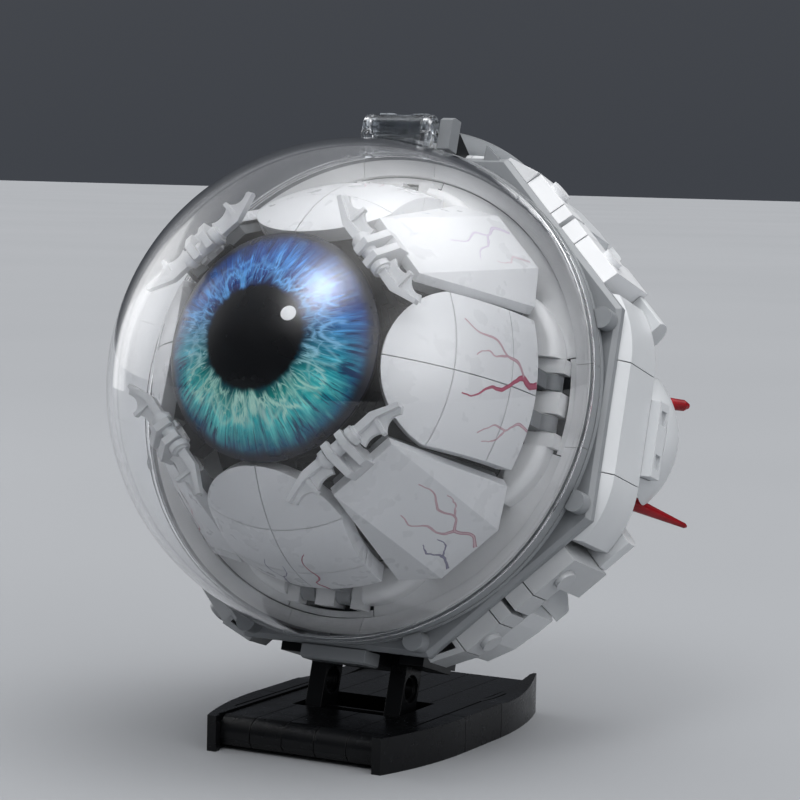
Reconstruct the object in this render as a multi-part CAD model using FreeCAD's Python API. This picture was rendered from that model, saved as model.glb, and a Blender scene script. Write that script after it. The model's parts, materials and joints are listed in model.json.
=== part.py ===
import FreeCAD, Part
import math
import os
from FreeCAD import Placement, Rotation, Vector

os.makedirs("parts", exist_ok=True)

# Desk model of an eye, built from interlocking blocks: a black stand, a tilting eyeball with an
# octagonal shell, eight eyelid-like petals round a printed iris dish, and a clear hinged dome.
# Everything above the stand is modelled in the eye frame: X to the object's right, Y backwards
# along the eye's axis, Z across it, origin at the centre of the dome's sphere.

# ---------------------------------------------------------------- building-block module (mm)
STUD = 8.0
PLATE = 3.2
STUD_RADIUS = 2.4
BAR_RADIUS = 1.6
PIN_RADIUS = 2.3
HOLE_FIT = 0.08         # radial clearance of a bar or pin in its hole
SEAM = 0.1              # half the gap between neighbouring blocks
GAP = 0.35              # clearance between parts that move past each other

# ---------------------------------------------------------------- stand
BASE_HALF_LENGTH = 38.8
BASE_TOP = 7.5
BASE_PLATE_TOP = 4.3
TILE_FRONT = -36.8
TILE_UNDERSIDE = 1.1
TILE_NOSE_RADIUS = 3.6
TILE_COUNT = 5
TILE_FIELD_HALF = TILE_COUNT * STUD / 2
WALL_INNER = 20.2
WALL_FRONT_HALF = 21.5
WALL_MIDDLE_HALF = 26.4
WALL_REAR_HALF = 21.0
WALL_MIDDLE_FRONT = -9.0
WALL_MIDDLE_REAR = 9.0
WALL_TOP = 7.9
WALL_REAR_TOP = 9.3
POCKET_HALF_WIDTH = 13.2
POCKET_FRONT = -16.4
POCKET_REAR = 1.6
POCKET_FLOOR = 0.5

# ---------------------------------------------------------------- tilt joint and eye frame
PIVOT_Y = -9.8
PIVOT_Z = 4.5
EYE_PITCH = 16.9        # the eye looks this many degrees above the horizon
PIVOT_DROP = 70.0       # from the eye's centre down to the pivot, across the eye's axis
PIVOT_BACK = 24.0       # and backwards along it
UPRIGHT_INNER = 8.0
UPRIGHT_THICK = 4.0
UPRIGHT_END = 3.6

# ---------------------------------------------------------------- dome
DOME_RADIUS = 55.4
DOME_WALL = 1.2
FLANGE_RADIUS = 56.0
FLANGE_DEPTH = 1.2
HINGE_HEIGHT = 60.3
HINGE_DEPTH = 0.8
HINGE_BARREL = 2.7
EAR_INNER = 6.5
EAR_OUTER = 8.4
SIDE_BLOCK_TOP = 63.4     # grey block beside the right ear
BRACKET_HALF = 10.9

# ---------------------------------------------------------------- iris and petals
IRIS_RADIUS = 23.8
IRIS_RIM_FRONT = 39.0
IRIS_APEX = 48.3
DISH_WALL = 2.0
PETAL_RADIUS = 45.4
PETAL_HALF_WIDTH = 16.1
PETAL_OUTER_END = 5.5
PETAL_SEAMS = (14.1, 27.2)
PETAL_TIP = 25.0          # distance of the petal's rounded inner end from the eye's axis
PETAL_TIP_ROUND = 17.0
CARRIER_RADIUS = PETAL_RADIUS - PLATE - 0.05
CARRIER_HALF_WIDTH = 13.6
CARRIER_MOUTH = (49.3, 22.8)    # centre and radius of the round that ends the carrier
PETAL_HINGE_X = 44.6
PETAL_HINGE_Y = 2.0
CLIP_OFFSET = 4.4
CLIP_HALF_WIDTH = 1.7
CLIP_RADIUS = 2.7
HINGE_POCKET = 5.3      # how far back the drum is relieved for the clips
BRACKET_END = 9.6

# diagonal petal: corners of its flat face in its own radial, depth and tangential directions
WEDGE_INNER = (33.2, -35.2)
WEDGE_OUTER = (48.2, -2.6)
WEDGE_HALF_WIDTH = 8.0
WEDGE_CHEEK = (42.9, -4.6, 15.5)
WEDGE_THICK = 2.4

# clasps
CLASP_RADIUS = 28.4
CLASP_DEPTH = -39.9
CLASP_HALF_SPAN = 15.4

# ---------------------------------------------------------------- rings and shell
RING_INNER = 50.3
LOBE_X = 46.8
LOBE_HALF_LENGTH = 22.4
BACKING_RADIUS = 55.8
OCTAGON_FRONT = 7.0
OCTAGON_APOTHEM = 56.0
OCTAGON_THICK = 2.6
TOOTH = ((17.6, 55.9), (17.8, 59.0), (21.4, 55.9))    # wedge on each side of the top flat
CORNER_STUD = (57.0, 3.4, 2.4)                         # centre out, front, radius
CORNER_STUD_ANGLES = (20.5, -20.5, -68.5)
DRUM_RADIUS = 50.2
DRUM_FRONT = 3.7
PANEL_FRONT = 9.7
PANEL_REAR = 26.2
PANEL_X = 58.0
PANEL_INNER_X = 50.3
PANEL_SEAM = 12.3
PANEL_END = 27.2
PANEL_END_X = 53.0
REAR_END = 40.0
REAR_APOTHEM_FRONT = 52.5
REAR_APOTHEM_BACK = 41.0

# diagonal sides: block edges across the side, from the end beside a side panel to the other
BLOCK_FRONT = 9.7
BLOCK_RIDGE = 10.6
BLOCK_TOP = 59.5
BLOCK_BACK = 17.5
LONG_BLOCK = (3.1, 6.8, 14.8)
LONG_BLOCK_BACK = 28.5
SHORT_BLOCKS = ((-2.2, 2.85), (-6.5, -3.3), (-16.2, -6.75))
BLOCK_STUDS = (9.8, -11.4)
STUD_DEPTH = 14.0
END_BLOCK = (-16.35, -24.0)
END_BLOCK_TIP = 56.4      # how far out the tapered end block still reaches at its far end
SLAB_BACK = 31.0
SLAB_END = -1.2

# dishes behind the side panels and the top panel: radius, height, centre out, centre back, lean
SIDE_DISH = (14.2, 6.0, 54.7, 36.8, 11.4)
TOP_DISH = (22.8, 4.6, 53.3, 37.0, 32.0)

# latch behind each side panel
LATCH_OUT = 60.4
LATCH_BACK = 31.2
LATCH_LOW = -9.6
LATCH_HIGH = 7.2

SIDES = {"right": 0, "top": 90, "left": 180, "bottom": 270}
CORNERS = {"upper_right": 45, "upper_left": 135, "lower_left": 225, "lower_right": 315}


# ---------------------------------------------------------------- small helpers
def box(x0, x1, y0, y1, z0, z1):
    """Block between two corners."""
    return Part.makeBox(x1 - x0, y1 - y0, z1 - z0, Vector(x0, y0, z0))


def rod(start, end, radius):
    """Round bar from start to end."""
    axis = Vector(*end) - Vector(*start)
    return Part.makeCylinder(radius, axis.Length, Vector(*start), axis)


def place(plane, a, b, level):
    """Point with in-plane coordinates (a, b) on the plane named by its normal."""
    if plane == "X":
        return Vector(level, a, b)
    if plane == "Y":
        return Vector(a, level, b)
    return Vector(a, b, level)


def prism(outline, plane, low, high):
    """Outline of points and ("arc", middle, end) steps, extruded between two levels."""
    edges = []
    start = outline[0]
    for step in list(outline[1:]) + [outline[0]]:
        here = place(plane, *start, low)
        if step[0] == "arc":
            middle, end = step[1], step[2]
            edges.append(Part.Arc(here, place(plane, *middle, low), place(plane, *end, low)).toShape())
            start = end
        else:
            if step != start:
                edges.append(Part.makeLine(here, place(plane, *step, low)))
            start = step
    face = Part.Face(Part.Wire(edges))
    return face.extrude(place(plane, 0, 0, high - low))


def fuse(shapes):
    """One solid from shapes that touch or overlap."""
    whole = shapes[0].multiFuse(shapes[1:]) if len(shapes) > 1 else shapes[0]
    return whole.removeSplitter()


def group(shapes):
    """Separate solids kept together under one name."""
    solids = [solid for shape in shapes for solid in shape.Solids]
    return Part.makeCompound(solids)


def around(shape, angle):
    """Turn about the eye's axis, from the right towards the top."""
    turned = shape.copy()
    turned.rotate(Vector(0, 0, 0), Vector(0, -1, 0), angle)
    return turned


def mirror_x(shape):
    return shape.mirror(Vector(0, 0, 0), Vector(1, 0, 0))


def ring(inner, outer, front, back):
    """Flat ring about the eye's axis."""
    disc = rod((0, front, 0), (0, back, 0), outer)
    return disc.cut(rod((0, front - 1, 0), (0, back + 1, 0), inner))


def bevel(shape, size, wanted):
    """Chamfer the edges whose centre passes the test."""
    edges = [edge for edge in shape.Edges if wanted(edge.BoundBox.Center, edge.BoundBox)]
    return shape.makeChamfer(size, edges)


def octagon(apothem, y):
    """Octagonal wire across the eye's axis, with flats to the right, top, left and bottom."""
    corner = apothem / math.cos(math.pi / 8)
    angles = [math.pi / 8 + k * math.pi / 4 for k in range(8)]
    points = [Vector(corner * math.cos(a), y, corner * math.sin(a)) for a in angles]
    return Part.makePolygon(points + points[:1])


def eye_frame():
    """Where the eye frame sits on the stand at rest."""
    pitch = math.radians(EYE_PITCH)
    up = Vector(0, math.sin(pitch), math.cos(pitch))
    back = Vector(0, math.cos(pitch), -math.sin(pitch))
    centre = Vector(0, PIVOT_Y, PIVOT_Z) + up * PIVOT_DROP - back * PIVOT_BACK
    return Placement(centre, Rotation(Vector(1, 0, 0), -EYE_PITCH))


# ---------------------------------------------------------------- stand
def pocket():
    return box(-POCKET_HALF_WIDTH, POCKET_HALF_WIDTH, POCKET_FRONT, POCKET_REAR, POCKET_FLOOR, 20)


def tilt_axle():
    """Cross axle that the two uprights turn on, held in the base each side of the pocket."""
    half = POCKET_HALF_WIDTH + 4.0
    return rod((-half, PIVOT_Y, PIVOT_Z), (half, PIVOT_Y, PIVOT_Z), PIN_RADIUS)


def base_plate():
    """Plate under the tiles, open in the middle, with a bearing block each side of the pocket."""
    half = WALL_INNER - 0.1
    plate = box(-half, half, TILE_FRONT + 5, BASE_HALF_LENGTH - 1, 0.0, BASE_PLATE_TOP)
    for side in (-1, 1):
        low, high = sorted((side * POCKET_HALF_WIDTH, side * (POCKET_HALF_WIDTH + 5.2)))
        plate = plate.fuse(box(low, high, PIVOT_Y - 4, PIVOT_Y + 4, 0, BASE_TOP - 0.4))
    return plate.cut(pocket()).cut(tilt_axle()).removeSplitter()


def base_tiles():
    """Five long tiles side by side, each with a quarter-round nose."""
    tiles = []
    nose = TILE_NOSE_RADIUS
    tip = TILE_FRONT
    lift = TILE_UNDERSIDE
    bend = nose * (1 - math.sqrt(0.5))
    profile = [
        (tip + 5 - SEAM, lift), (tip + 1.2, lift), (tip, lift + 1.6), (tip, BASE_TOP - nose),
        ("arc", (tip + bend, BASE_TOP - bend), (tip + nose, BASE_TOP)),
        (BASE_HALF_LENGTH - 1, BASE_TOP), (BASE_HALF_LENGTH - 1, BASE_PLATE_TOP),
        (tip + 5 - SEAM, BASE_PLATE_TOP),
    ]
    bearings = box(-18.6, 18.6, PIVOT_Y - 4.1, PIVOT_Y + 4.1, 0, BASE_TOP - 0.4)
    for k in range(TILE_COUNT):
        low = -TILE_FIELD_HALF + k * STUD
        tile = prism(profile, "X", low + SEAM, low + STUD - SEAM)
        tiles.append(tile.cut(pocket()).cut(bearings))
    return group(tiles)


def side_wall(side):
    """Curved flank of the base: front slope, flat middle and rear slope, one block high."""
    front, rear = -BASE_HALF_LENGTH, BASE_HALF_LENGTH
    middle_front, middle_rear = WALL_MIDDLE_FRONT, WALL_MIDDLE_REAR
    outer = WALL_MIDDLE_HALF
    front_bow = (WALL_FRONT_HALF + 3.35, front + 12.5)
    rear_bow = (WALL_REAR_HALF + 3.55, rear - 13.0)
    tip = WALL_FRONT_HALF - 2.2
    front_piece = prism([
        (WALL_INNER, middle_front - SEAM), (outer, middle_front - SEAM),
        ("arc", front_bow, (WALL_FRONT_HALF, front)),
        (tip, front), (tip, TILE_FRONT - 0.2), (WALL_INNER, TILE_FRONT - 0.2),
    ], "Z", 0, WALL_TOP)
    middle_piece = prism([
        (WALL_INNER, middle_front + SEAM), (outer, middle_front + SEAM),
        (outer, middle_rear - SEAM), (WALL_INNER, middle_rear - SEAM),
    ], "Z", 0, WALL_TOP)
    rear_piece = prism([
        (WALL_INNER, middle_rear + SEAM), (outer, middle_rear + SEAM),
        ("arc", rear_bow, (WALL_REAR_HALF, rear)), (WALL_INNER, rear),
    ], "Z", 0, WALL_REAR_TOP)
    dip = prism([
        (middle_rear - 1, WALL_TOP), ("arc", (rear - 13, WALL_TOP - 0.1), (rear - 1.5, WALL_REAR_TOP + 0.1)),
        (rear - 1.5, 12), (middle_rear - 1, 12),
    ], "X", WALL_INNER - 1, outer + 1)
    rear_piece = rear_piece.cut(dip)
    groove = box(WALL_INNER + 1.2, WALL_INNER + 1.7, middle_front - 18, middle_rear + 12, WALL_TOP - 0.8, 12)
    wall = group([piece.cut(groove) for piece in (front_piece, middle_piece, rear_piece)])
    return wall if side > 0 else mirror_x(wall)


# ---------------------------------------------------------------- uprights and frame
def upright(side):
    """Thin liftarm with round ends and three holes; the lowest turns on the tilt axle."""
    x0 = side * UPRIGHT_INNER
    x1 = side * (UPRIGHT_INNER + UPRIGHT_THICK)
    low, high = min(x0, x1), max(x0, x1)
    top = -DRUM_RADIUS - 0.1
    radius = UPRIGHT_END
    y = PIVOT_BACK
    body = prism([
        (y - radius, -PIVOT_DROP), (y - radius, top), (y + radius, top), (y + radius, -PIVOT_DROP),
        ("arc", (y, -PIVOT_DROP - radius), (y - radius, -PIVOT_DROP)),
    ], "X", low, high)
    for k, fit in ((0, HOLE_FIT), (1, HOLE_FIT), (2, 0.0)):
        z = -PIVOT_DROP + k * STUD
        body = body.cut(rod((low - 1, y, z), (high + 1, y, z), PIN_RADIUS + fit))
        if k == 1:
            body = body.cut(rod((low - 1, y, z), (low + 0.8, y, z), 3.1))
            body = body.cut(rod((high - 0.8, y, z), (high + 1, y, z), 3.1))
    return body


def frame_pins():
    """Friction pins through the uprights into the frame."""
    z = -PIVOT_DROP + 2 * STUD
    pins = []
    for side in (-1, 1):
        pins.append(rod((side * 4.0, PIVOT_BACK, z), (side * 16.0, PIVOT_BACK, z), PIN_RADIUS))
    return group(pins)


def bottom_frame():
    """Black frame under the drum that the uprights are pinned to."""
    low, high = -58.2, -DRUM_RADIUS - 0.1
    centre = box(-UPRIGHT_INNER + 0.1, UPRIGHT_INNER - 0.1, 14.6, 30, low, high)
    parts = [centre]
    for side in (-1, 1):
        x0 = side * (UPRIGHT_INNER + UPRIGHT_THICK + 0.1)
        x1 = side * 18.0
        parts.append(box(min(x0, x1), max(x0, x1), 16, 30, low + 0.8, high))
    shapes = [part.cut(frame_pins()) for part in parts]
    rail = box(-18, 18, 28.2, 32, low + 2.0, high)
    return fuse(shapes + [rail.cut(box(-13, -7, 20, 28.1, -70, -40))])


def support_block():
    """Light grey plate two studs wide in front of the uprights, under the octagon."""
    plate = box(-STUD, STUD, 7.4, 14.4, -59.3, -OCTAGON_APOTHEM - 0.1)
    return bevel(plate, 0.5, lambda c, b: abs(b.ZLength) < 0.01 and c.z < -59.0)


# ---------------------------------------------------------------- core and rings
def core_drum():
    """Black drum that every ring, panel and petal bracket is built round."""
    drum = rod((0, DRUM_FRONT, 0), (0, PANEL_REAR, 0), DRUM_RADIUS)
    step = rod((0, DRUM_FRONT - 2.5, 0), (0, DRUM_FRONT, 0), 38.0)
    column = rod((0, -27.5, 0), (0, DRUM_FRONT - 2.5, 0), 21.0)
    pocket = box(40.6, 48.4, DRUM_FRONT - 1, HINGE_POCKET, -6.9, 6.9)
    whole = fuse([drum, step, column])
    for angle in SIDES.values():
        whole = whole.cut(around(pocket, angle))
    return whole


def iris_mount():
    """Black round mount behind the iris dish, notched round its edge."""
    disc = rod((0, -33.4, 0), (0, -27.6, 0), 25.0)
    collar = rod((0, -37.3, 0), (0, -33.4, 0), 22.2)
    mount = fuse([disc, collar])
    for k in range(8):
        notch = box(23.2, 30, -40, -30.4, -2.4, 2.4)
        mount = mount.cut(around(notch, 22.5 + 45 * k))
    for k in range(4):
        lug = box(24.2, 29.2, -33.4, -29.0, -3.4, 3.4)
        mount = mount.fuse(around(lug, 45 + 90 * k))
    return mount.removeSplitter()


def cap(radius, apex, rim):
    """Spherical cap about the eye's axis with its apex and rim plane at these fronts."""
    height = apex - rim
    sphere_radius = (radius ** 2 + height ** 2) / (2 * height)
    ball = Part.makeSphere(sphere_radius, Vector(0, -(apex - sphere_radius), 0))
    return ball.common(rod((0, -apex - 5, 0), (0, -rim, 0), radius + 5))


def iris_dish():
    """Domed dish that carries the printed iris, with a short rim."""
    outer = cap(IRIS_RADIUS, IRIS_APEX, IRIS_RIM_FRONT)
    inner = cap(IRIS_RADIUS - DISH_WALL, IRIS_APEX - DISH_WALL, IRIS_RIM_FRONT)
    rim = rod((0, -IRIS_RIM_FRONT, 0), (0, -IRIS_RIM_FRONT + 1.6, 0), IRIS_RADIUS - 0.4)
    bore = rod((0, -IRIS_RIM_FRONT, 0), (0, -IRIS_RIM_FRONT + 1.6, 0), IRIS_RADIUS - DISH_WALL)
    return fuse([outer.cut(inner), rim.cut(bore)])


def ring_lobe():
    """Smooth white arch behind a side petal's outer end, in two halves each side of the hinge."""
    end = LOBE_HALF_LENGTH
    lobe = prism([
        (38.6, -end + 3), (39.0, -end), ("arc", (44.5, -16.4), (LOBE_X, -8.6)),
        (LOBE_X, 8.6), ("arc", (44.5, 16.4), (39.0, end)), (38.6, end - 3),
    ], "Y", -1.6, DRUM_FRONT)
    outer = [e for e in lobe.Edges if e.BoundBox.YLength < 0.01 and e.BoundBox.Center.y < -1.5
             and e.BoundBox.Center.x > 40.0]
    lobe = lobe.makeFillet(2.2, outer)
    return lobe.cut(box(30, 60, -10, 10, -BRACKET_END, BRACKET_END))


def petal_ring():
    return group([around(ring_lobe(), angle) for angle in SIDES.values()])


def rim_ring():
    """Grey dished ring between the petals and the dome, in eight segments."""
    front = 0.5
    profile = [(54.9, front), (BACKING_RADIUS - 0.2, front + 0.2), (BACKING_RADIUS - 0.2, DRUM_FRONT - 0.1),
               (RING_INNER, DRUM_FRONT - 0.1), (RING_INNER, front + 1.9)]
    face = Part.Face(Part.makePolygon([Vector(r, y, 0) for r, y in profile + profile[:1]]))
    full = face.revolve(Vector(0, 0, 0), Vector(0, 1, 0), 360)
    half = 9.0
    bridges = []
    quarters = full
    for angle in SIDES.values():
        slot = around(box(40, 60, -5, 10, -half, half), angle)
        bridges.append(full.common(around(box(40, 60, -5, 10, -half + SEAM, half - SEAM), angle)))
        quarters = quarters.cut(slot)
    return group(bridges + [quarters])


def backing_rings():
    """Two stacked grey rings behind the dome's flange, with a fine groove between them."""
    first = ring(RING_INNER, BACKING_RADIUS, DRUM_FRONT, 5.1)
    second = ring(RING_INNER, BACKING_RADIUS - 0.9, 5.4, OCTAGON_FRONT)
    joint = ring(RING_INNER, BACKING_RADIUS - 1.6, 5.1, 5.4)
    return fuse([first, joint, second])


def corner_studs():
    """Round studs that stand on the octagon near its corners, tucked against the rings."""
    out, front, radius = CORNER_STUD
    disc = rod((out, front, 0), (out, OCTAGON_FRONT, 0), radius)
    disc = disc.cut(rod((0, 0, 0), (0, 8, 0), BACKING_RADIUS + 0.05))
    right = [around(disc, angle) for angle in CORNER_STUD_ANGLES]
    return group(right + [mirror_x(stud) for stud in right])


def octagon_flange():
    """Octagonal plate that the shell's panels stand behind, with a wedge each side of its top."""
    outer = Part.Face(octagon(OCTAGON_APOTHEM, OCTAGON_FRONT)).extrude(Vector(0, OCTAGON_THICK, 0))
    outer = outer.cut(rod((0, 0, 0), (0, 20, 0), RING_INNER))
    plate = bevel(outer, 1.0, lambda c, b: b.YLength < 0.01 and c.y < OCTAGON_FRONT + 0.1
                  and math.hypot(c.x, c.z) > 54)
    wedge = prism([*TOOTH, (TOOTH[2][0], 53.0), (TOOTH[0][0], 53.0)], "Y",
                  OCTAGON_FRONT + 0.4, OCTAGON_FRONT + OCTAGON_THICK)
    return fuse([plate, wedge, mirror_x(wedge)])


# ---------------------------------------------------------------- shell panels
def side_panel():
    """Smooth panel of the shell: straight middle and two ends that curve in."""
    x, inner, seam, end = PANEL_X, PANEL_INNER_X, PANEL_SEAM, PANEL_END
    middle = prism([(inner, -seam + SEAM), (x, -seam + SEAM), (x, seam - SEAM), (inner, seam - SEAM)],
                   "Y", PANEL_FRONT, PANEL_REAR)
    top = prism([(inner, seam + SEAM), (x, seam + SEAM), ("arc", (x - 1.35, seam + 8.0), (PANEL_END_X, end)),
                 (inner, end)], "Y", PANEL_FRONT, PANEL_REAR)
    pieces = []
    for piece in (middle, top):
        pieces.append(bevel(piece, 2.6, lambda c, b: b.YLength < 0.01 and c.y < PANEL_FRONT + 0.1
                            and c.x > inner + 2.8 and b.ZLength > 5))
    pieces.append(pieces[1].mirror(Vector(0, 0, 0), Vector(0, 0, 1)))
    return group(pieces)


def corner_block(hand, z0, z1, back):
    """Slope block of a diagonal side: steep front face up to a ridge, then flat."""
    inner = DRUM_RADIUS - 2.0
    low, high = sorted((hand * z0, hand * z1))
    return prism([
        (inner, BLOCK_FRONT), (OCTAGON_APOTHEM - 0.1, BLOCK_FRONT), (BLOCK_TOP, BLOCK_RIDGE),
        (BLOCK_TOP, back), (inner, back),
    ], "Z", low, high)


def end_block(hand):
    """Tapered block that ends a row: hollow in front below, laid over the top panel above."""
    near, far = (hand * z for z in END_BLOCK)
    tip, foot = END_BLOCK_TIP, DRUM_RADIUS - 3.7
    block = prism([
        (foot, near), (BLOCK_TOP, near), (tip, far), (DRUM_RADIUS - 0.2, far), (foot, near - hand * 3.0),
    ], "Y", BLOCK_FRONT, BLOCK_BACK)
    if hand < 0:
        return block.cut(around(side_panel(), 45))
    wall = 1.1
    hollow = prism([
        (DRUM_RADIUS + 1.6, near - wall), (BLOCK_TOP - 1.9, near - wall),
        (tip - 0.9, far + wall), (DRUM_RADIUS + 1.6, far + wall),
    ], "Y", BLOCK_FRONT - 1, BLOCK_FRONT + 4.6)
    return block.cut(hollow)


def corner_blocks(hand):
    """Row of slope blocks on a diagonal: one long, three short, two studs and a tapered end."""
    near, step, far = LONG_BLOCK
    long_block = corner_block(hand, near, far, BLOCK_BACK)
    long_block = long_block.fuse(corner_block(hand, step, far, LONG_BLOCK_BACK))
    blocks = [long_block] + [corner_block(hand, z0, z1, BLOCK_BACK) for z0, z1 in SHORT_BLOCKS]
    studs = [rod((BLOCK_TOP - 2, STUD_DEPTH, hand * z), (BLOCK_TOP + 1.2, STUD_DEPTH, hand * z), STUD_RADIUS)
             for z in BLOCK_STUDS]
    blocks[0] = blocks[0].fuse(studs[0])
    blocks[-1] = blocks[-1].fuse(studs[1])
    blocks.append(end_block(hand))
    drum = rod((0, 0, 0), (0, 40, 0), DRUM_RADIUS)
    return group([block.cut(drum).cut(rear_body()).removeSplitter() for block in blocks])


def corner_slab(hand):
    """Back of a diagonal side: a broad smooth slab, a hollow half dish and a round-ended bar."""
    top, back = BLOCK_TOP, SLAB_BACK
    front = BLOCK_BACK + 0.15
    slab = prism([
        (46.0, -18.6), (57.0, -18.6), (58.9, -12.0), (top, -5.0), (top, SLAB_END), (46.0, SLAB_END),
    ], "Y", front, back)
    slab = slab.cut(around(side_panel(), -45))
    slab = bevel(slab, 2.0, lambda c, b: b.YLength < 0.01 and c.y > back - 0.1 and c.x > 56)
    near, far = SLAB_END + 0.15, LONG_BLOCK[1] - 0.15
    middle = (front + back) / 2
    scoop = box(46.0, top, front, back, near, far)
    scoop = scoop.common(rod((40, middle, near), (70, middle, near), (back - front) / 2 + 0.6))
    scoop = scoop.cut(Part.makeSphere(6.6, Vector(top + 0.8, middle, near + 1.6)))
    bar = rod((53.6, 28.2, LONG_BLOCK[2] + 0.15), (53.6, 28.2, 23.4), 4.8)
    bar = bar.cut(around(side_panel(), 45)).cut(box(40, 70, 10, PANEL_REAR + 0.15, 10, 30))
    drum = rod((0, 0, 0), (0, PANEL_REAR, 0), DRUM_RADIUS)
    pieces = [slab, scoop, bar]
    if hand < 0:
        pieces = [piece.mirror(Vector(0, 0, 0), Vector(0, 0, 1)) for piece in pieces]
    return group([piece.cut(rear_body()).cut(drum) for piece in pieces])


def diagonal_sides(build):
    """A piece on each of the four diagonals, each the mirror image of its neighbour."""
    lower_right = around(build(1), CORNERS["lower_right"])
    upper_right = around(build(-1), CORNERS["upper_right"])
    return {
        "upper_right": upper_right,
        "upper_left": mirror_x(upper_right),
        "lower_left": mirror_x(lower_right),
        "lower_right": lower_right,
    }


def rear_body():
    """Tapered octagonal back of the shell, notched over the bottom frame."""
    front = octagon(REAR_APOTHEM_FRONT - 0.1, PANEL_REAR)
    back = octagon(REAR_APOTHEM_BACK, REAR_END)
    body = Part.makeLoft([front, back], True)
    return body.cut(box(-18.3, 18.3, 10, 32.3, -60, -46.0))


def rear_cap():
    """Round dish that closes the back."""
    shallow = cap(20.0, 6.0, 0.0)
    turned = shallow.copy()
    turned.rotate(Vector(0, 0, 0), Vector(1, 0, 0), 180)
    turned.translate(Vector(0, REAR_END, 0))
    return turned


def dish(size):
    """Shallow dish on a short stem, facing outwards and leaning back."""
    radius, height, out, back, lean = size
    sphere_radius = (radius ** 2 + height ** 2) / (2 * height)
    ball = Part.makeSphere(sphere_radius, Vector(height - sphere_radius, 0, 0))
    reach = radius + 1
    bowl = ball.common(box(0, height + 1, -reach, reach, -reach, reach))
    hollow = bowl.copy()
    hollow.translate(Vector(-1.8, 0, 0))
    stem = rod((-12, 0, 0), (height - 1, 0, 0), 4.0)
    whole = fuse([bowl.cut(hollow.common(box(0, height, -reach, reach, -reach, reach))), stem])
    whole.rotate(Vector(0, 0, 0), Vector(0, 0, 1), lean)
    whole.translate(Vector(out, back, 0))
    return whole.cut(rear_body())


def side_dish():
    """Dish behind a side panel, cut away where the panel and the latch stand in front of it."""
    whole = dish(SIDE_DISH)
    whole = whole.cut(box(30, 70, 0, PANEL_REAR + 0.15, -40, 40))
    return whole.cut(box(40, 70, PANEL_REAR, LATCH_BACK + 0.15, LATCH_LOW - 0.15, LATCH_HIGH + 0.15))


def top_dish():
    """Larger dish behind the top panel."""
    return around(dish(TOP_DISH).cut(around(side_panel(), 0)), SIDES["top"])


def side_latch():
    """Narrow upright block behind a side panel, with a shallow window near each end."""
    block = box(50.2, LATCH_OUT, PANEL_REAR + 0.15, LATCH_BACK, LATCH_LOW, LATCH_HIGH)
    for z in (LATCH_LOW + 3.6, LATCH_HIGH - 3.4):
        window = box(LATCH_OUT - 0.8, LATCH_OUT + 1, PANEL_REAR + 1.2, LATCH_BACK - 0.9, z - 1.6, z + 1.6)
        block = block.cut(window)
    return block.cut(rear_body())


def vessel_spike(root, tip, root_radius, tip_radius):
    """Tapered red spike with a blunt tip."""
    axis = Vector(*tip) - Vector(*root)
    body = Part.makeCone(root_radius, tip_radius, axis.Length, Vector(*root), axis)
    nose = Part.makeCone(tip_radius, tip_radius * 0.5, tip_radius, Vector(*tip), axis)
    return fuse([body, nose])


def vessel_spikes():
    """Red vessels that run back past each side dish."""
    upper = vessel_spike((40.0, 34.0, 9.5), (54.4, 53.8, 12.2), 2.0, 1.3)
    lower = vessel_spike((42.0, 34.0, -11.0), (57.0, 58.2, -14.8), 2.6, 0.6)
    pair = [upper.cut(rear_body()).cut(side_dish()), lower.cut(rear_body()).cut(side_dish())]
    return group(pair + [mirror_x(item) for item in pair])


# ---------------------------------------------------------------- petals on the four sides
def petal_patch(outer, half_width, low, high):
    """Strip of a spherical shell one plate thick, running out from the eye's axis."""
    shell = Part.makeSphere(outer).cut(Part.makeSphere(outer - PLATE))
    return shell.common(box(0, 60, -high, -low, -half_width, half_width))


def petal_outline():
    """Petal's outline as a tall block: a rounded inner end, square to the sphere, then straight."""
    radius = PETAL_TIP_ROUND
    outline = prism([
        (radius, -radius), ("arc", (0, 0), (radius, radius)), (60, radius), (60, -radius),
    ], "Y", -20, 20)
    depth = math.sqrt(PETAL_RADIUS ** 2 - PETAL_TIP ** 2)
    outline.rotate(Vector(0, 0, 0), Vector(0, 0, 1), math.degrees(math.atan2(PETAL_TIP, depth)))
    outline.translate(Vector(PETAL_TIP, -depth, 0))
    return outline


def petal_shell():
    """Outer skin of a side petal: two rows of three curved blocks."""
    levels = [PETAL_OUTER_END, *PETAL_SEAMS, PETAL_RADIUS]
    whole = petal_patch(PETAL_RADIUS, PETAL_HALF_WIDTH, PETAL_OUTER_END, PETAL_RADIUS)
    whole = whole.common(petal_outline())
    blocks = []
    for low, high in zip(levels, levels[1:]):
        for row in (-1, 1):
            z0, z1 = sorted((row * SEAM, row * 20.0))
            blocks.append(whole.common(box(0, 60, -high + SEAM, -low - SEAM, z0, z1)))
    return group(blocks)


def petal_clip(z):
    """Clip that grips the hinge bar, on an arm from the carrier."""
    x, y = PETAL_HINGE_X, PETAL_HINGE_Y
    low, high = z - CLIP_HALF_WIDTH, z + CLIP_HALF_WIDTH
    eye = rod((x, y, low), (x, y, high), CLIP_RADIUS)
    arm = box(x - 4.6, x + 0.2, SEAM - PETAL_OUTER_END, y, low, high)
    clip = fuse([eye, arm])
    clip = clip.cut(rod((x, y, low - 1), (x, y, high + 1), BAR_RADIUS + HOLE_FIT))
    return clip.cut(box(x + 0.4, x + 6, y + 0.5, y + 6, low - 1, high + 1))


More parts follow.
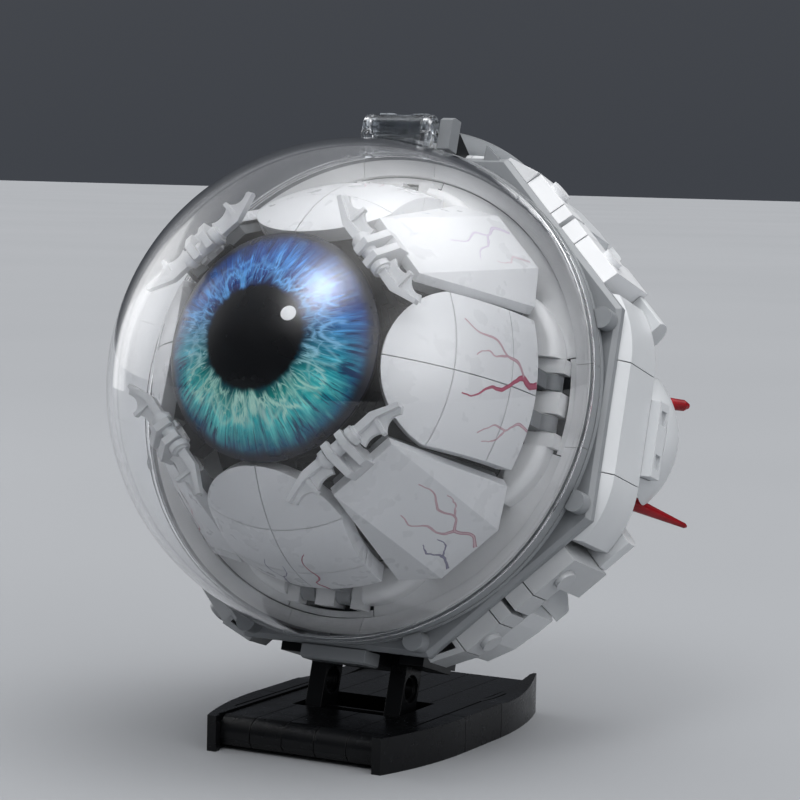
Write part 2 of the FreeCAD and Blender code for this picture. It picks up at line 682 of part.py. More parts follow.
def petal_carrier():
    """Frame under a side petal that joins its blocks and ends in two hinge clips."""
    centre, mouth = CARRIER_MOUTH
    body = petal_patch(CARRIER_RADIUS, CARRIER_HALF_WIDTH, 4.0, 36.5)
    body = body.common(rod((centre, -60, 0), (centre, 5, 0), mouth))
    clips = [petal_clip(z) for z in (-CLIP_OFFSET, CLIP_OFFSET)]
    skin_room = Part.makeSphere(CARRIER_RADIUS + 0.05)
    root = box(38.6, 44.8, -7.5, -4.0, -8.0, 8.0).common(skin_room)
    return fuse([body, root] + clips)


def petal_bars():
    """Hinge bars that the petal clips hold, each in three white brackets on the drum."""
    sets = []
    x, y, end = PETAL_HINGE_X, PETAL_HINGE_Y, BRACKET_END - SEAM
    inner = CLIP_OFFSET - CLIP_HALF_WIDTH - GAP
    outer = CLIP_OFFSET + CLIP_HALF_WIDTH + GAP
    brackets = [rod((x, y, -end), (x, y, end), BAR_RADIUS)]
    for z0, z1, back in ((-end, -outer, DRUM_FRONT), (-inner, inner, HINGE_POCKET), (outer, end, DRUM_FRONT)):
        brackets.append(box(x - 3.2, x + 3.4, y - 1.9, back, z0, z1))
    hinge = fuse(brackets)
    for angle in SIDES.values():
        sets.append(around(hinge, angle))
    return group(sets)


# ---------------------------------------------------------------- petals on the diagonals
def wedge_axes():
    """Unit vectors down the flat face and out of it, in the radial-depth plane."""
    along = Vector(WEDGE_OUTER[0] - WEDGE_INNER[0], WEDGE_OUTER[1] - WEDGE_INNER[1], 0)
    along.normalize()
    normal = Vector(-along.y, along.x, 0)
    return along, -normal if normal.x < 0 else normal


def wedge_faces(drop, inset):
    """The flat face and two cheeks of a diagonal petal, sunk and narrowed by these amounts."""
    along, normal = wedge_axes()
    sink = normal * -drop
    half = WEDGE_HALF_WIDTH - inset
    cheek_x, cheek_y, cheek_z = WEDGE_CHEEK
    inner = [Vector(WEDGE_INNER[0], WEDGE_INNER[1], side * half) + sink + along * inset for side in (-1, 1)]
    outer = [Vector(WEDGE_OUTER[0], WEDGE_OUTER[1], side * half) + sink - along * inset for side in (-1, 1)]
    cheek = [Vector(cheek_x, cheek_y, side * (cheek_z - inset)) + sink - along * inset for side in (-1, 1)]
    flat = Part.Face(Part.makePolygon([inner[0], outer[0], outer[1], inner[1], inner[0]]))
    sides = [Part.Face(Part.makePolygon([inner[k], outer[k], cheek[k], inner[k]])) for k in (0, 1)]
    return [flat] + sides, normal


def wedge_solid(drop, thick, inset):
    faces, normal = wedge_faces(drop, inset)
    return fuse([face.extrude(normal * -thick) for face in faces])


def diagonal_petal():
    """Flat petal with a triangular cheek each side, like a hipped roof."""
    petal = wedge_solid(0.0, WEDGE_THICK, 0.0)
    return petal.cut(rod((0, -60, 0), (0, 0, 0), 31.0))


def diagonal_carrier():
    """Carrier under a diagonal petal, toothed along both edges, with a foot on the drum."""
    carrier = wedge_solid(WEDGE_THICK + 0.05, 2.6, 0.8)
    count = 5
    for side in (-1, 1):
        start = Vector(WEDGE_INNER[0], WEDGE_INNER[1], side * WEDGE_HALF_WIDTH)
        end = Vector(*WEDGE_CHEEK[:2], side * WEDGE_CHEEK[2])
        turn = Rotation(Vector(0, 1, 0), end - start)
        for k in range(count):
            centre = start + (end - start) * ((k + 0.9) / (count + 0.5))
            notch = box(-2.2, 2.2, -1.5, 1.5, -12, 12)
            notch.Placement = Placement(centre, turn)
            carrier = carrier.cut(notch)
    foot = box(38.6, 45.2, -4.6, DRUM_FRONT, -6.0, 6.0)
    return fuse([carrier, foot]).cut(diagonal_petal()).cut(around(iris_mount(), -45))


def diagonal_carriers():
    return group([around(diagonal_carrier(), angle) for angle in CORNERS.values()])


# ---------------------------------------------------------------- clasps
def clasp_wing(side):
    """One wing of a clasp: a bent spar, a rib and a thin web with a scalloped edge."""
    rho, y, tip = CLASP_RADIUS, CLASP_DEPTH, CLASP_HALF_SPAN
    web = prism([
        (rho - 0.2, side * 3.4), (rho + 0.2, side * 9.4), (rho + 2.0, side * tip),
        (rho + 3.2, side * (tip - 1.2)), ("arc", (rho + 2.6, side * 11.6), (rho + 4.4, side * 9.4)),
        ("arc", (rho + 2.9, side * 7.2), (rho + 3.4, side * 4.2)),
    ], "Y", y + 0.3, y + 1.2)
    spar = prism([
        (rho - 1.1, side * 3.4), (rho - 1.2, side * 9.4), (rho + 1.3, side * tip),
        (rho + 2.2, side * (tip - 0.4)), (rho + 0.6, side * 9.8), (rho + 0.8, side * 3.4),
    ], "Y", y - 0.8, y + 0.8)
    rib = prism([
        (rho - 0.6, side * 8.9), (rho + 4.4, side * 8.7), (rho + 4.4, side * 9.6), (rho - 0.6, side * 10.0),
    ], "Y", y - 0.3, y + 0.9)
    return [web, spar, rib]


def clasp():
    """Winged clasp: a bar with a wing at each end."""
    rho, y = CLASP_RADIUS, CLASP_DEPTH
    bar = rod((rho, y, -5.0), (rho, y, 5.0), BAR_RADIUS)
    collars = [rod((rho, y, side * 3.0), (rho, y, side * 4.4), 2.1) for side in (-1, 1)]
    return fuse([bar] + collars + clasp_wing(1) + clasp_wing(-1))


def clasp_clip():
    """Clip with two jaws that holds a clasp's bar, on a post from a diagonal petal's carrier."""
    rho, y = CLASP_RADIUS, CLASP_DEPTH
    body = prism([
        (rho - 2.0, y - 2.2), (rho + 1.4, y - 2.8), (rho + 5.4, y + 1.2), (rho + 5.4, y + 5.0),
        (rho + 1.2, y + 5.0), (rho - 2.0, y + 2.4),
    ], "Z", -2.7, 2.7)
    body = body.cut(box(rho - 4, rho + 6, y - 6, y + 2.2, -1.0, 1.0))
    post = box(rho + 1.2, rho + 5.2, y + 2.4, -33.2, -2.7, 2.7)
    clip = fuse([body, post])
    clip = clip.cut(rod((rho, y, -4), (rho, y, 4), BAR_RADIUS))
    clip = clip.cut(box(rho - 4, rho + 0.2, y - 1.0, y + 1.0, -4, 4))
    return clip.cut(diagonal_petal()).cut(diagonal_carrier()).cut(around(iris_mount(), -45))


# ---------------------------------------------------------------- dome and its hinge
def dome_shell():
    """Clear half dome with a flange at its rim and two hinge ears at the top."""
    ball = Part.makeSphere(DOME_RADIUS).cut(Part.makeSphere(DOME_RADIUS - DOME_WALL))
    half = ball.common(box(-70, 70, -70, 0, -70, 70))
    flange = ring(DOME_RADIUS - DOME_WALL, FLANGE_RADIUS, -FLANGE_DEPTH, 0)
    hollow = Part.makeSphere(DOME_RADIUS - DOME_WALL / 2)
    ears = []
    for side in (-1, 1):
        low, high = sorted((side * EAR_INNER, side * EAR_OUTER))
        barrel = rod((low, -HINGE_DEPTH, HINGE_HEIGHT), (high, -HINGE_DEPTH, HINGE_HEIGHT), HINGE_BARREL)
        neck = box(low, high, -HINGE_DEPTH - HINGE_BARREL, 0, 54.2, HINGE_HEIGHT)
        ears.append(fuse([barrel.cut(box(-12, 12, 0, 5, 50, 58.6)), neck]).cut(hollow))
    dome = fuse([half, flange] + ears)
    bore = rod((-12, -HINGE_DEPTH, HINGE_HEIGHT), (12, -HINGE_DEPTH, HINGE_HEIGHT), BAR_RADIUS + HOLE_FIT)
    return dome.cut(bore)


def dome_hinge_pin():
    return rod((-EAR_OUTER - 0.4, -HINGE_DEPTH, HINGE_HEIGHT), (EAR_OUTER + 0.4, -HINGE_DEPTH, HINGE_HEIGHT),
               BAR_RADIUS)


def hinge_knuckle():
    """Middle block of the dome's hinge, with two raised tabs on a low plate."""
    half = EAR_INNER - GAP
    y, z = -HINGE_DEPTH, HINGE_HEIGHT
    barrel = rod((-half, y, z), (half, y, z), HINGE_BARREL)
    body = box(-half, half, y, 6.4, BACKING_RADIUS + 1.7, z)
    tabs = [box(x0, x1, y + 0.6, 5.0, z - 1, z + 3.4) for x0, x1 in ((-half, -2.4), (2.4, half))]
    return fuse([barrel, body] + tabs).cut(dome_hinge_pin())


def hinge_plate():
    """White plate on top of the rings that carries the hinge."""
    plate = box(-10.2, 10.2, 1.6, 6.9, 54.0, BACKING_RADIUS + 1.6)
    return plate.cut(rod((0, 0, 0), (0, 20, 0), BACKING_RADIUS + 0.1))


def hinge_side_block():
    """Grey block beside the right hinge ear."""
    top = SIDE_BLOCK_TOP
    block = prism([
        (0.7, 55.9), (0.7, top - 0.8), (1.9, top), (4.9, top), (4.9, 55.9),
    ], "X", EAR_OUTER + 0.45, EAR_OUTER + 3.5)
    return block.cut(rod((0, 0, 0), (0, 20, 0), BACKING_RADIUS + 0.1)).cut(hinge_plate())


def top_bracket():
    """Dark sloped block behind the hinge that ties it to the top panel."""
    block = prism([
        (7.0, OCTAGON_APOTHEM + 0.1), (7.0, 61.4), (13.0, PANEL_X + 0.4), (13.0, PANEL_X + 0.05),
        (9.65, 56.1), (9.65, OCTAGON_APOTHEM + 0.1),
    ], "X", -BRACKET_HALF, BRACKET_HALF)
    return block.cut(around(side_panel(), 90))


# ---------------------------------------------------------------- every piece by name
def eye_pieces():
    pieces = {
        "upright_left": upright(-1),
        "upright_right": upright(1),
        "frame_pins": frame_pins(),
        "bottom_frame": bottom_frame(),
        "support_block": support_block(),
        "core_drum": core_drum(),
        "iris_mount": iris_mount(),
        "iris_dish": iris_dish(),
        "petal_ring": petal_ring(),
        "rim_ring": rim_ring(),
        "backing_rings": backing_rings(),
        "corner_studs": corner_studs(),
        "octagon_flange": octagon_flange(),
        "rear_body": rear_body(),
        "rear_cap": rear_cap(),
        "vessel_spikes": vessel_spikes(),
        "petal_bars": petal_bars(),
        "diagonal_carriers": diagonal_carriers(),
        "hinge_plate": hinge_plate(),
        "hinge_knuckle": hinge_knuckle(),
        "hinge_side_block": hinge_side_block(),
        "hinge_bracket": top_bracket(),
        "dome_hinge_pin": dome_hinge_pin(),
        "dome_shell": dome_shell(),
        "side_dish_right": side_dish(),
        "side_dish_left": mirror_x(side_dish()),
        "top_dish": top_dish(),
        "side_latch_right": side_latch(),
        "side_latch_left": mirror_x(side_latch()),
    }
    for name, angle in SIDES.items():
        pieces["petal_" + name] = around(petal_shell(), angle)
        pieces["petal_" + name + "_carrier"] = around(petal_carrier(), angle)
        if name != "bottom":
            pieces["side_panel_" + name] = around(side_panel(), angle)
    for name, angle in CORNERS.items():
        pieces["petal_" + name] = around(diagonal_petal(), angle)
        pieces["clasp_" + name] = around(clasp(), angle)
    for name, blocks in diagonal_sides(corner_blocks).items():
        pieces["corner_blocks_" + name] = blocks
    pieces["corner_slabs"] = group(diagonal_sides(corner_slab).values())
    pieces["clasp_clips"] = group([around(clasp_clip(), angle) for angle in CORNERS.values()])
    return pieces


def stand_pieces():
    return {
        "base_plate": base_plate(),
        "base_tiles": base_tiles(),
        "side_wall_right": side_wall(1),
        "side_wall_left": side_wall(-1),
        "tilt_axle": tilt_axle(),
    }


def main():
    frame = eye_frame()
    for name, shape in eye_pieces().items():
        placed = shape.copy()
        placed.Placement = frame.multiply(placed.Placement)
        placed.exportStep("parts/" + name + ".step")
    for name, shape in stand_pieces().items():
        shape.exportStep("parts/" + name + ".step")


main()
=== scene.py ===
import json
import math

import bmesh
import bpy
import numpy as np
from mathutils import Matrix, Vector


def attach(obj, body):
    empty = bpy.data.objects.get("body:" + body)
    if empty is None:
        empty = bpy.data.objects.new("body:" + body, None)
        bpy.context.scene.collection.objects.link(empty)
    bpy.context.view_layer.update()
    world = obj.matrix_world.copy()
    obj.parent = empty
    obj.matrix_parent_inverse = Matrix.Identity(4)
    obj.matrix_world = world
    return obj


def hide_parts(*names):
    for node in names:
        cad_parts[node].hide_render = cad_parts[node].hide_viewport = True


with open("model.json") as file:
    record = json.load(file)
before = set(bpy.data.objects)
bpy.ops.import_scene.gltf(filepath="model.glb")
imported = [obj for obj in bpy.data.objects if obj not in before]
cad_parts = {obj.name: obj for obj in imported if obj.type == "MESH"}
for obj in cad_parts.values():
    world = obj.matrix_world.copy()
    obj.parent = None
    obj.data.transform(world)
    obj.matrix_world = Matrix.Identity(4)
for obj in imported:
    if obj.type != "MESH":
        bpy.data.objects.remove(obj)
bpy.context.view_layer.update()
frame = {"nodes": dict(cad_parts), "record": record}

# ---------------------------------------------------------------- sizes (millimetres) and places
MM = 0.001
EYE_PITCH = math.radians(16.9)      # the eye looks this far above the horizon
PIVOT = (0.0, -9.8, 4.5)            # tilt axle
PIVOT_DROP = 70.0                   # from the dome's centre down to the axle, across the eye's axis
PIVOT_BACK = 24.0                   # and back along it
UP = np.array([0.0, math.sin(EYE_PITCH), math.cos(EYE_PITCH)])
BACK = np.array([0.0, math.cos(EYE_PITCH), -math.sin(EYE_PITCH)])
RIGHT = np.array([1.0, 0.0, 0.0])
CENTRE = np.array(PIVOT) + PIVOT_DROP * UP - PIVOT_BACK * BACK

DOME_RADIUS = 55.4
DOME_WALL = 1.2
DOME_STEPS = 288                    # points round the dome
FLANGE_RADIUS = 56.0
FLANGE_DEPTH = 1.2
FLANGE_EDGE = 0.3
HINGE_HEIGHT = 60.3                 # pin's axis above the eye's axis
HINGE_DEPTH = 0.8                   # and in front of the dome's rim plane
HINGE_BARREL = 2.7
BORE_RADIUS = 1.68
EAR_SPAN = (6.5, 8.4)               # each ear's two faces, out from the middle
EAR_FOOT = 54.2
EAR_EDGE = 0.25
EAR_REACH = 9.0                     # longest line from the pin's axis to the ear's outline
EAR_STEPS = 72

IRIS_RADIUS = 24.4
IRIS_RIM_FRONT = 39.0
IRIS_APEX = 48.3
IRIS_STEPS = 256
DISH_WALL = 2.0
PUPIL_EDGE = (0.425, 0.475)         # where black gives way to colour, as shares of the iris radius
DARK_RIM = (0.9, 0.985)             # where the colour darkens towards the rim
NETS = ((3.1, 0.085, 0.72, 0.78), (5.3, 0.05, 0.62, 0.7))   # scale, thread width, where it fades
LOOP_RADIUS = 0.46                  # loops of pale thread round the middles of a net's cells
IRIS_LIP = 0.8                      # rounded lip at the dish's rim
LIP_INSET = (0.85, 0.75)            # its centre, in from the rim and back from its front
DRUM_FRONT = 3.7
LINER_SPAN = (38.3, 50.1)           # white plates on the drum's face: inner and outer radius
LINER_THICK = 0.25
LINER_CHAMFER = 0.1
LINER_HALF_ANGLE = 32.5             # degrees each side of a diagonal
NARROW_SPAN = (48.6, 50.1)          # plates past each side petal's hinge
NARROW_HALF_ANGLE = 12.2
RIM_WHITE = 53.7                    # the rim ring is white inside this radius
GLINT = (7.3, 5.3, 1.65)            # painted glint: a white catch-light dot on the pupil: across, up, radius

PETAL_RADIUS = 45.4
WEDGE_INNER = (33.2, -35.2)         # a diagonal petal's flat face: its inner end (out, back)
WEDGE_OUTER = (48.2, -2.6)          # and its outer end
WEDGE_CHEEK = (42.9, -4.6, 15.5)    # outer corner of a cheek (out, back, across)
WEDGE_HALF_WIDTH = 8.0
PRINT_LIFT = 0.03                   # how far a printed vein stands off the plastic
EDGE_WIDTH = 0.22                   # rounding of moulded edges
VEIN_WIDTH = 0.8                    # share of the widths in the tables below
VEIN_STEPS = 14                     # points along a vein for each one in the tables
TREMBLE = 0.10                      # how far a vein wavers from its smooth path
SWELL = 0.18                        # how far its width wavers
STILL_ROOT = 0.15                   # share of its length at the root where the wavering grows

SIDES = {"right": 0.0, "top": 90.0, "left": 180.0, "bottom": 270.0}
CORNERS = {"upper_right": 45.0, "upper_left": 135.0, "lower_left": 225.0, "lower_right": 315.0}


# ---------------------------------------------------------------- frames and meshes
def eye(points):
    """World points in metres, from eye-frame ones in mm (right, back, up across the eye's axis)."""
    points = np.asarray(points, float)
    world = CENTRE + points[..., :1] * RIGHT + points[..., 1:2] * BACK + points[..., 2:3] * UP
    return world * MM


def about_axis(points, degrees):
    """Points turned about the eye's axis, from the right towards the top."""
    turn = math.radians(degrees)
    x, y, z = np.moveaxis(np.asarray(points, float), -1, 0)
    cosine, sine = math.cos(turn), math.sin(turn)
    return np.stack([x * cosine - z * sine, y, x * sine + z * cosine], -1)


def new_piece(name, points, faces, material, body, smooth=True):
    """A mesh object at the origin that rides on a body."""
    mesh = bpy.data.meshes.new(name)
    points = np.asarray(points, float).reshape(-1, 3)
    mesh.from_pydata(points.tolist(), [], np.asarray(faces).tolist())
    mesh.polygons.foreach_set("use_smooth", np.full(len(mesh.polygons), smooth))
    mesh.update()
    piece = bpy.data.objects.new(name, mesh)
    bpy.context.scene.collection.objects.link(piece)
    piece.data.materials.append(material)
    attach(piece, body)
    return piece


def grid_faces(rows, columns, wrap_rows=False, wrap_columns=False):
    """Corner numbers of a rows x columns grid's quads; the grid may close on itself either way."""
    r = np.arange(rows if wrap_rows else rows - 1)
    c = np.arange(columns if wrap_columns else columns - 1)
    r, c = np.meshgrid(r, c, indexing="ij")
    next_r, next_c = (r + 1) % rows, (c + 1) % columns
    row, next_row = r * columns, next_r * columns
    return np.stack([row + c, next_row + c, next_row + next_c, row + next_c], -1).reshape(-1, 4)


def lathe(profile, steps):
    """A profile of (radius, back) points spun about the eye's axis."""
    profile = np.asarray(profile, float)
    turn = np.linspace(0.0, 2.0 * math.pi, steps, endpoint=False)[:, None]
    x = profile[:, 0] * np.cos(turn)
    z = profile[:, 0] * np.sin(turn)
    y = np.broadcast_to(profile[:, 1], x.shape)
    return np.stack([x, y, z], -1)


def welded(piece, distance=0.002):
    """Merges coincident points, such as a spun profile's pole, and points every face outwards."""
    work = bmesh.new()
    work.from_mesh(piece.data)
    bmesh.ops.remove_doubles(work, verts=work.verts, dist=distance * MM)
    bmesh.ops.recalc_face_normals(work, faces=work.faces)
    work.to_mesh(piece.data)
    work.free()
    piece.data.update()
    return piece


# ---------------------------------------------------------------- materials
class Graph:
    """Small helper that adds and joins a material's shader nodes."""

    def __init__(self, name):
        """A new material with one Principled shader, and its Object coordinates to hand."""
        self.material = bpy.data.materials.new(name)
        self.material.use_nodes = True
        self.tree = self.material.node_tree
        self.tree.nodes.clear()
        self.output = self.tree.nodes.new("ShaderNodeOutputMaterial")
        self.shader = self.tree.nodes.new("ShaderNodeBsdfPrincipled")
        self.join(self.shader.outputs["BSDF"], self.output.inputs["Surface"])
        self.object = self.tree.nodes.new("ShaderNodeTexCoord").outputs["Object"]

    def join(self, source, target):
        """Links an output to an input."""
        self.tree.links.new(source, target)

    def set(self, node, values):
        """Fills a node's inputs: a link where an output is given, else a constant."""
        for key, value in values.items():
            if isinstance(value, bpy.types.NodeSocket):
                self.join(value, node.inputs[key])
            else:
                node.inputs[key].default_value = value
        return node

    def noise(self, vector, scale, detail=3.0, rough=0.5, distortion=0.0):
        """Smooth random pattern about 0.5."""
        node = self.tree.nodes.new("ShaderNodeTexNoise")
        self.set(node, {"Vector": vector, "Scale": scale, "Detail": detail,
                        "Roughness": rough, "Distortion": distortion})
        return node.outputs["Fac"]

    def math(self, operation, a, b=0.0, clamp=False):
        """One sum on numbers."""
        node = self.tree.nodes.new("ShaderNodeMath")
        node.operation = operation
        node.use_clamp = clamp
        self.set(node, {0: a, 1: b})
        return node.outputs[0]

    def remap(self, value, low, high, to_low, to_high, smooth=False):
        """Carries low..high over to to_low..to_high, clamped, in a straight line or an S curve."""
        node = self.tree.nodes.new("ShaderNodeMapRange")
        if smooth:
            node.interpolation_type = "SMOOTHSTEP"
        self.set(node, {"Value": value, "From Min": low, "From Max": high,
                        "To Min": to_low, "To Max": to_high})
        return node.outputs["Result"]

    def mix(self, fac, a, b):
        """Blends colour a into colour b."""
        node = self.tree.nodes.new("ShaderNodeMix")
        node.data_type = "RGBA"
        self.set(node, {0: fac, 6: a, 7: b})
        return node.outputs[2]

    def ramp(self, value, stops):
        """Colour by value, through (place, colour) stops."""
        node = self.tree.nodes.new("ShaderNodeValToRGB")
        self.join(value, node.inputs["Fac"])
        elements = node.color_ramp.elements
        elements[0].position, elements[0].color = stops[0]
        elements[1].position, elements[1].color = stops[-1]
        for place, colour in stops[1:-1]:
            elements.new(place).color = colour
        return node.outputs["Color"]

    def rounded(self, width):
        """Normal that rounds every edge off over this width in millimetres."""
        node = self.tree.nodes.new("ShaderNodeBevel")
        node.samples = 4
        node.inputs["Radius"].default_value = width * MM
        return node.outputs["Normal"]

    def edge_wear_and_highlight(self, normal, most):
        """How far a rounded normal leans from the face: 0 on a face, up to most at an edge; it sets
        where edges turn pale, as wear and as a painted highlight.
        """
        face = self.tree.nodes.new("ShaderNodeNewGeometry").outputs["Normal"]
        node = self.tree.nodes.new("ShaderNodeVectorMath")
        node.operation = "DOT_PRODUCT"
        self.set(node, {0: normal, 1: face})
        return self.remap(node.outputs["Value"], 0.985, 0.8, 0.0, most)

    def bump(self, height, strength, distance, normal=None):
        """Fine relief on top of a normal."""
        node = self.tree.nodes.new("ShaderNodeBump")
        self.set(node, {"Height": height, "Strength": strength, "Distance": distance})
        if normal is not None:
            self.join(normal, node.inputs["Normal"])
        self.join(node.outputs["Normal"], self.shader.inputs["Normal"])

    def around(self, x, z, reach, radius, pull):
        """Point on a cylinder round the eye's axis: (x / reach, z / reach, radius x pull)."""
        node = self.tree.nodes.new("ShaderNodeCombineXYZ")
        self.set(node, {"X": self.math("DIVIDE", x, reach), "Y": self.math("DIVIDE", z, reach),
                        "Z": self.math("MULTIPLY", radius, pull)})
        return node.outputs["Vector"]

    def cells(self, vector, scale, sway, feature="DISTANCE_TO_EDGE"):
        """Distance to the nearest border (or, for F1, middle) of cells, bent by another pattern."""
        bent = self.tree.nodes.new("ShaderNodeVectorMath")
        bent.operation = "ADD"
        shift = self.tree.nodes.new("ShaderNodeCombineXYZ")
        self.set(shift, {"X": self.remap(sway, 0.2, 0.8, -0.05, 0.05),
                         "Z": self.remap(sway, 0.2, 0.8, -0.06, 0.06)})
        self.set(bent, {0: vector, 1: shift.outputs["Vector"]})
        node = self.tree.nodes.new("ShaderNodeTexVoronoi")
        node.feature = feature
        self.set(node, {"Vector": bent.outputs["Vector"], "Scale": scale, "Randomness": 0.85})
        return node.outputs["Distance"]

    def eye_place(self):
        """Object coordinates carried into the eye frame, in metres."""
        node = self.tree.nodes.new("ShaderNodeMapping")
        node.vector_type = "POINT"
        turn = Matrix.Rotation(EYE_PITCH, 3, "X")
        node.inputs["Rotation"].default_value = (EYE_PITCH, 0.0, 0.0)
        node.inputs["Location"].default_value = turn @ Vector(CENTRE * -MM)
        self.join(self.object, node.inputs["Vector"])
        return node.outputs["Vector"]

    def length(self, a, b):
        """Length of the step (a, b)."""
        square = self.math("ADD", self.math("MULTIPLY", a, a), self.math("MULTIPLY", b, b))
        return self.math("SQRT", square)

    def off_axis(self):
        """How far a point lies from the eye's axis: across, up and in all, in metres."""
        split = self.tree.nodes.new("ShaderNodeSeparateXYZ")
        self.join(self.eye_place(), split.inputs[0])
        x, z = split.outputs["X"], split.outputs["Z"]
        return x, z, self.length(x, z)


def rgb(r, g, b):
    """Opaque colour."""
    return (r, g, b, 1.0)


def shade(colour, factor):
    """A colour made lighter or darker."""
    return rgb(*[min(1.0, channel * factor) for channel in colour])


def moulded(name, colour, roughness=0.3, mottle=0.02, grain=0.06, specular=0.5, wear_and_highlight=0.25,
            outer=None):
    """Injection-moulded plastic: slow tone drift, pale edges that are partly wear and partly a
    painted highlight, handled patches and fine grain.

    outer is (radius, colour): the plastic's other colour past that radius from the eye's axis."""
    g = Graph(name)
    edge = g.rounded(EDGE_WIDTH)
    drift = g.noise(g.object, 45.0, 4.0, 0.6, 0.4)
    tone = g.ramp(drift, [(0.3, shade(colour, 1.0 - mottle)), (0.7, shade(colour, 1.0 + mottle))])
    if outer:
        reach = g.off_axis()[2]
        limit = outer[0] * MM
        past = g.remap(reach, limit, limit + 0.1 * MM, 0.0, 1.0, True)
        tone = g.mix(past, tone, rgb(*outer[1]))
    # pale edges: partly wear, partly a painted highlight along every moulded edge
    worn_and_highlit = rgb(*[min(channel * 1.5 + 0.02, 0.9) for channel in colour])
    tone = g.mix(g.edge_wear_and_highlight(edge, wear_and_highlight), tone, worn_and_highlit)
    g.join(tone, g.shader.inputs["Base Color"])
    patches = g.noise(g.object, 160.0, 3.0, 0.55)
    gloss = g.remap(patches, 0.3, 0.7, roughness * 0.82, roughness * 1.2)
    g.join(gloss, g.shader.inputs["Roughness"])
    g.shader.inputs["Specular IOR Level"].default_value = specular
    g.shader.inputs["IOR"].default_value = 1.53
    g.bump(g.noise(g.object, 2600.0, 2.0, 0.5), grain, 0.00003, edge)
    return g.material


def clear(name, tint, roughness):
    """Clear plastic: fully transmitting, with faint moulding haze in its gloss."""
    g = Graph(name)
    g.shader.inputs["Base Color"].default_value = tint
    g.shader.inputs["Transmission Weight"].default_value = 1.0
    g.shader.inputs["IOR"].default_value = 1.46
    haze = g.noise(g.object, 70.0, 3.0, 0.5)
    g.join(g.remap(haze, 0.35, 0.7, roughness * 0.4, roughness * 1.6), g.shader.inputs["Roughness"])
    return g.material


def iris_ground(g, rays, wavy, ragged, low, fibres, threads):
    """Blue above and teal below, with bright fibres and dark furrows that run outwards."""
    upper = g.ramp(wavy, [(0.42, rgb(0.002, 0.006, 0.04)), (0.56, rgb(0.004, 0.018, 0.2)),
                          (0.74, rgb(0.004, 0.06, 0.34)), (0.9, rgb(0.005, 0.03, 0.18)),
                          (1.0, rgb(0.001, 0.006, 0.04))])
    lower = g.ramp(wavy, [(0.42, rgb(0.003, 0.05, 0.08)), (0.56, rgb(0.006, 0.36, 0.33)),
                          (0.74, rgb(0.004, 0.55, 0.58)), (0.9, rgb(0.004, 0.14, 0.26)),
                          (1.0, rgb(0.001, 0.012, 0.05))])
    ground = g.mix(low, upper, lower)
    bright = g.mix(low, rgb(0.08, 0.40, 0.95), rgb(0.25, 0.95, 0.88))
    zone = g.ramp(ragged, [(0.50, rgb(0, 0, 0)), (0.62, rgb(0.55, 0.55, 0.55)),
                           (0.72, rgb(1, 1, 1)), (0.82, rgb(0.5, 0.5, 0.5)),
                           (0.93, rgb(0.08, 0.08, 0.08)), (1.0, rgb(0, 0, 0))])
    strand = g.math("POWER", g.remap(fibres, 0.42, 0.62, 0.0, 1.0), 1.3)
    hair = g.remap(threads, 0.5, 0.72, 0.0, 0.8)
    streaks = g.math("MULTIPLY", g.math("MAXIMUM", strand, hair), zone, True)
    colour = g.mix(streaks, ground, bright)
    furrow = g.remap(g.noise(rays, 19.0, 4.0, 0.6, 1.2), 0.5, 0.62, 0.0, 0.85)
    furrow = g.math("MULTIPLY", furrow, g.remap(ragged, 0.6, 0.8, 0.0, 1.0))
    return g.mix(furrow, colour, rgb(0.002, 0.02, 0.11))


def iris_net(g, colour, rays, wavy, low, lobes, threads):
    """Lays a coarse net of pale threads and a fine one round the pupil."""
    pale = g.mix(low, rgb(0.16, 0.5, 0.95), rgb(0.62, 0.95, 0.82))
    for scale, width, start, finish in NETS:
        edge = g.cells(rays, scale, lobes)
        middle = g.cells(rays, scale, threads, "F1")
        loop = g.math("ABSOLUTE", g.math("SUBTRACT", middle, LOOP_RADIUS))
        line = g.math("MAXIMUM", g.remap(edge, 0.0, width, 0.5, 0.0, True),
                      g.remap(loop, 0.0, width, 1.0, 0.0, True))
        inside = g.math("MULTIPLY", g.remap(wavy, 0.45, 0.5, 0.0, 1.0),
                        g.remap(wavy, start, finish, 1.0, 0.0))
        net = g.math("MULTIPLY", line, g.math("MULTIPLY", inside, 0.85), True)
        colour = g.mix(net, colour, pale)
    return colour


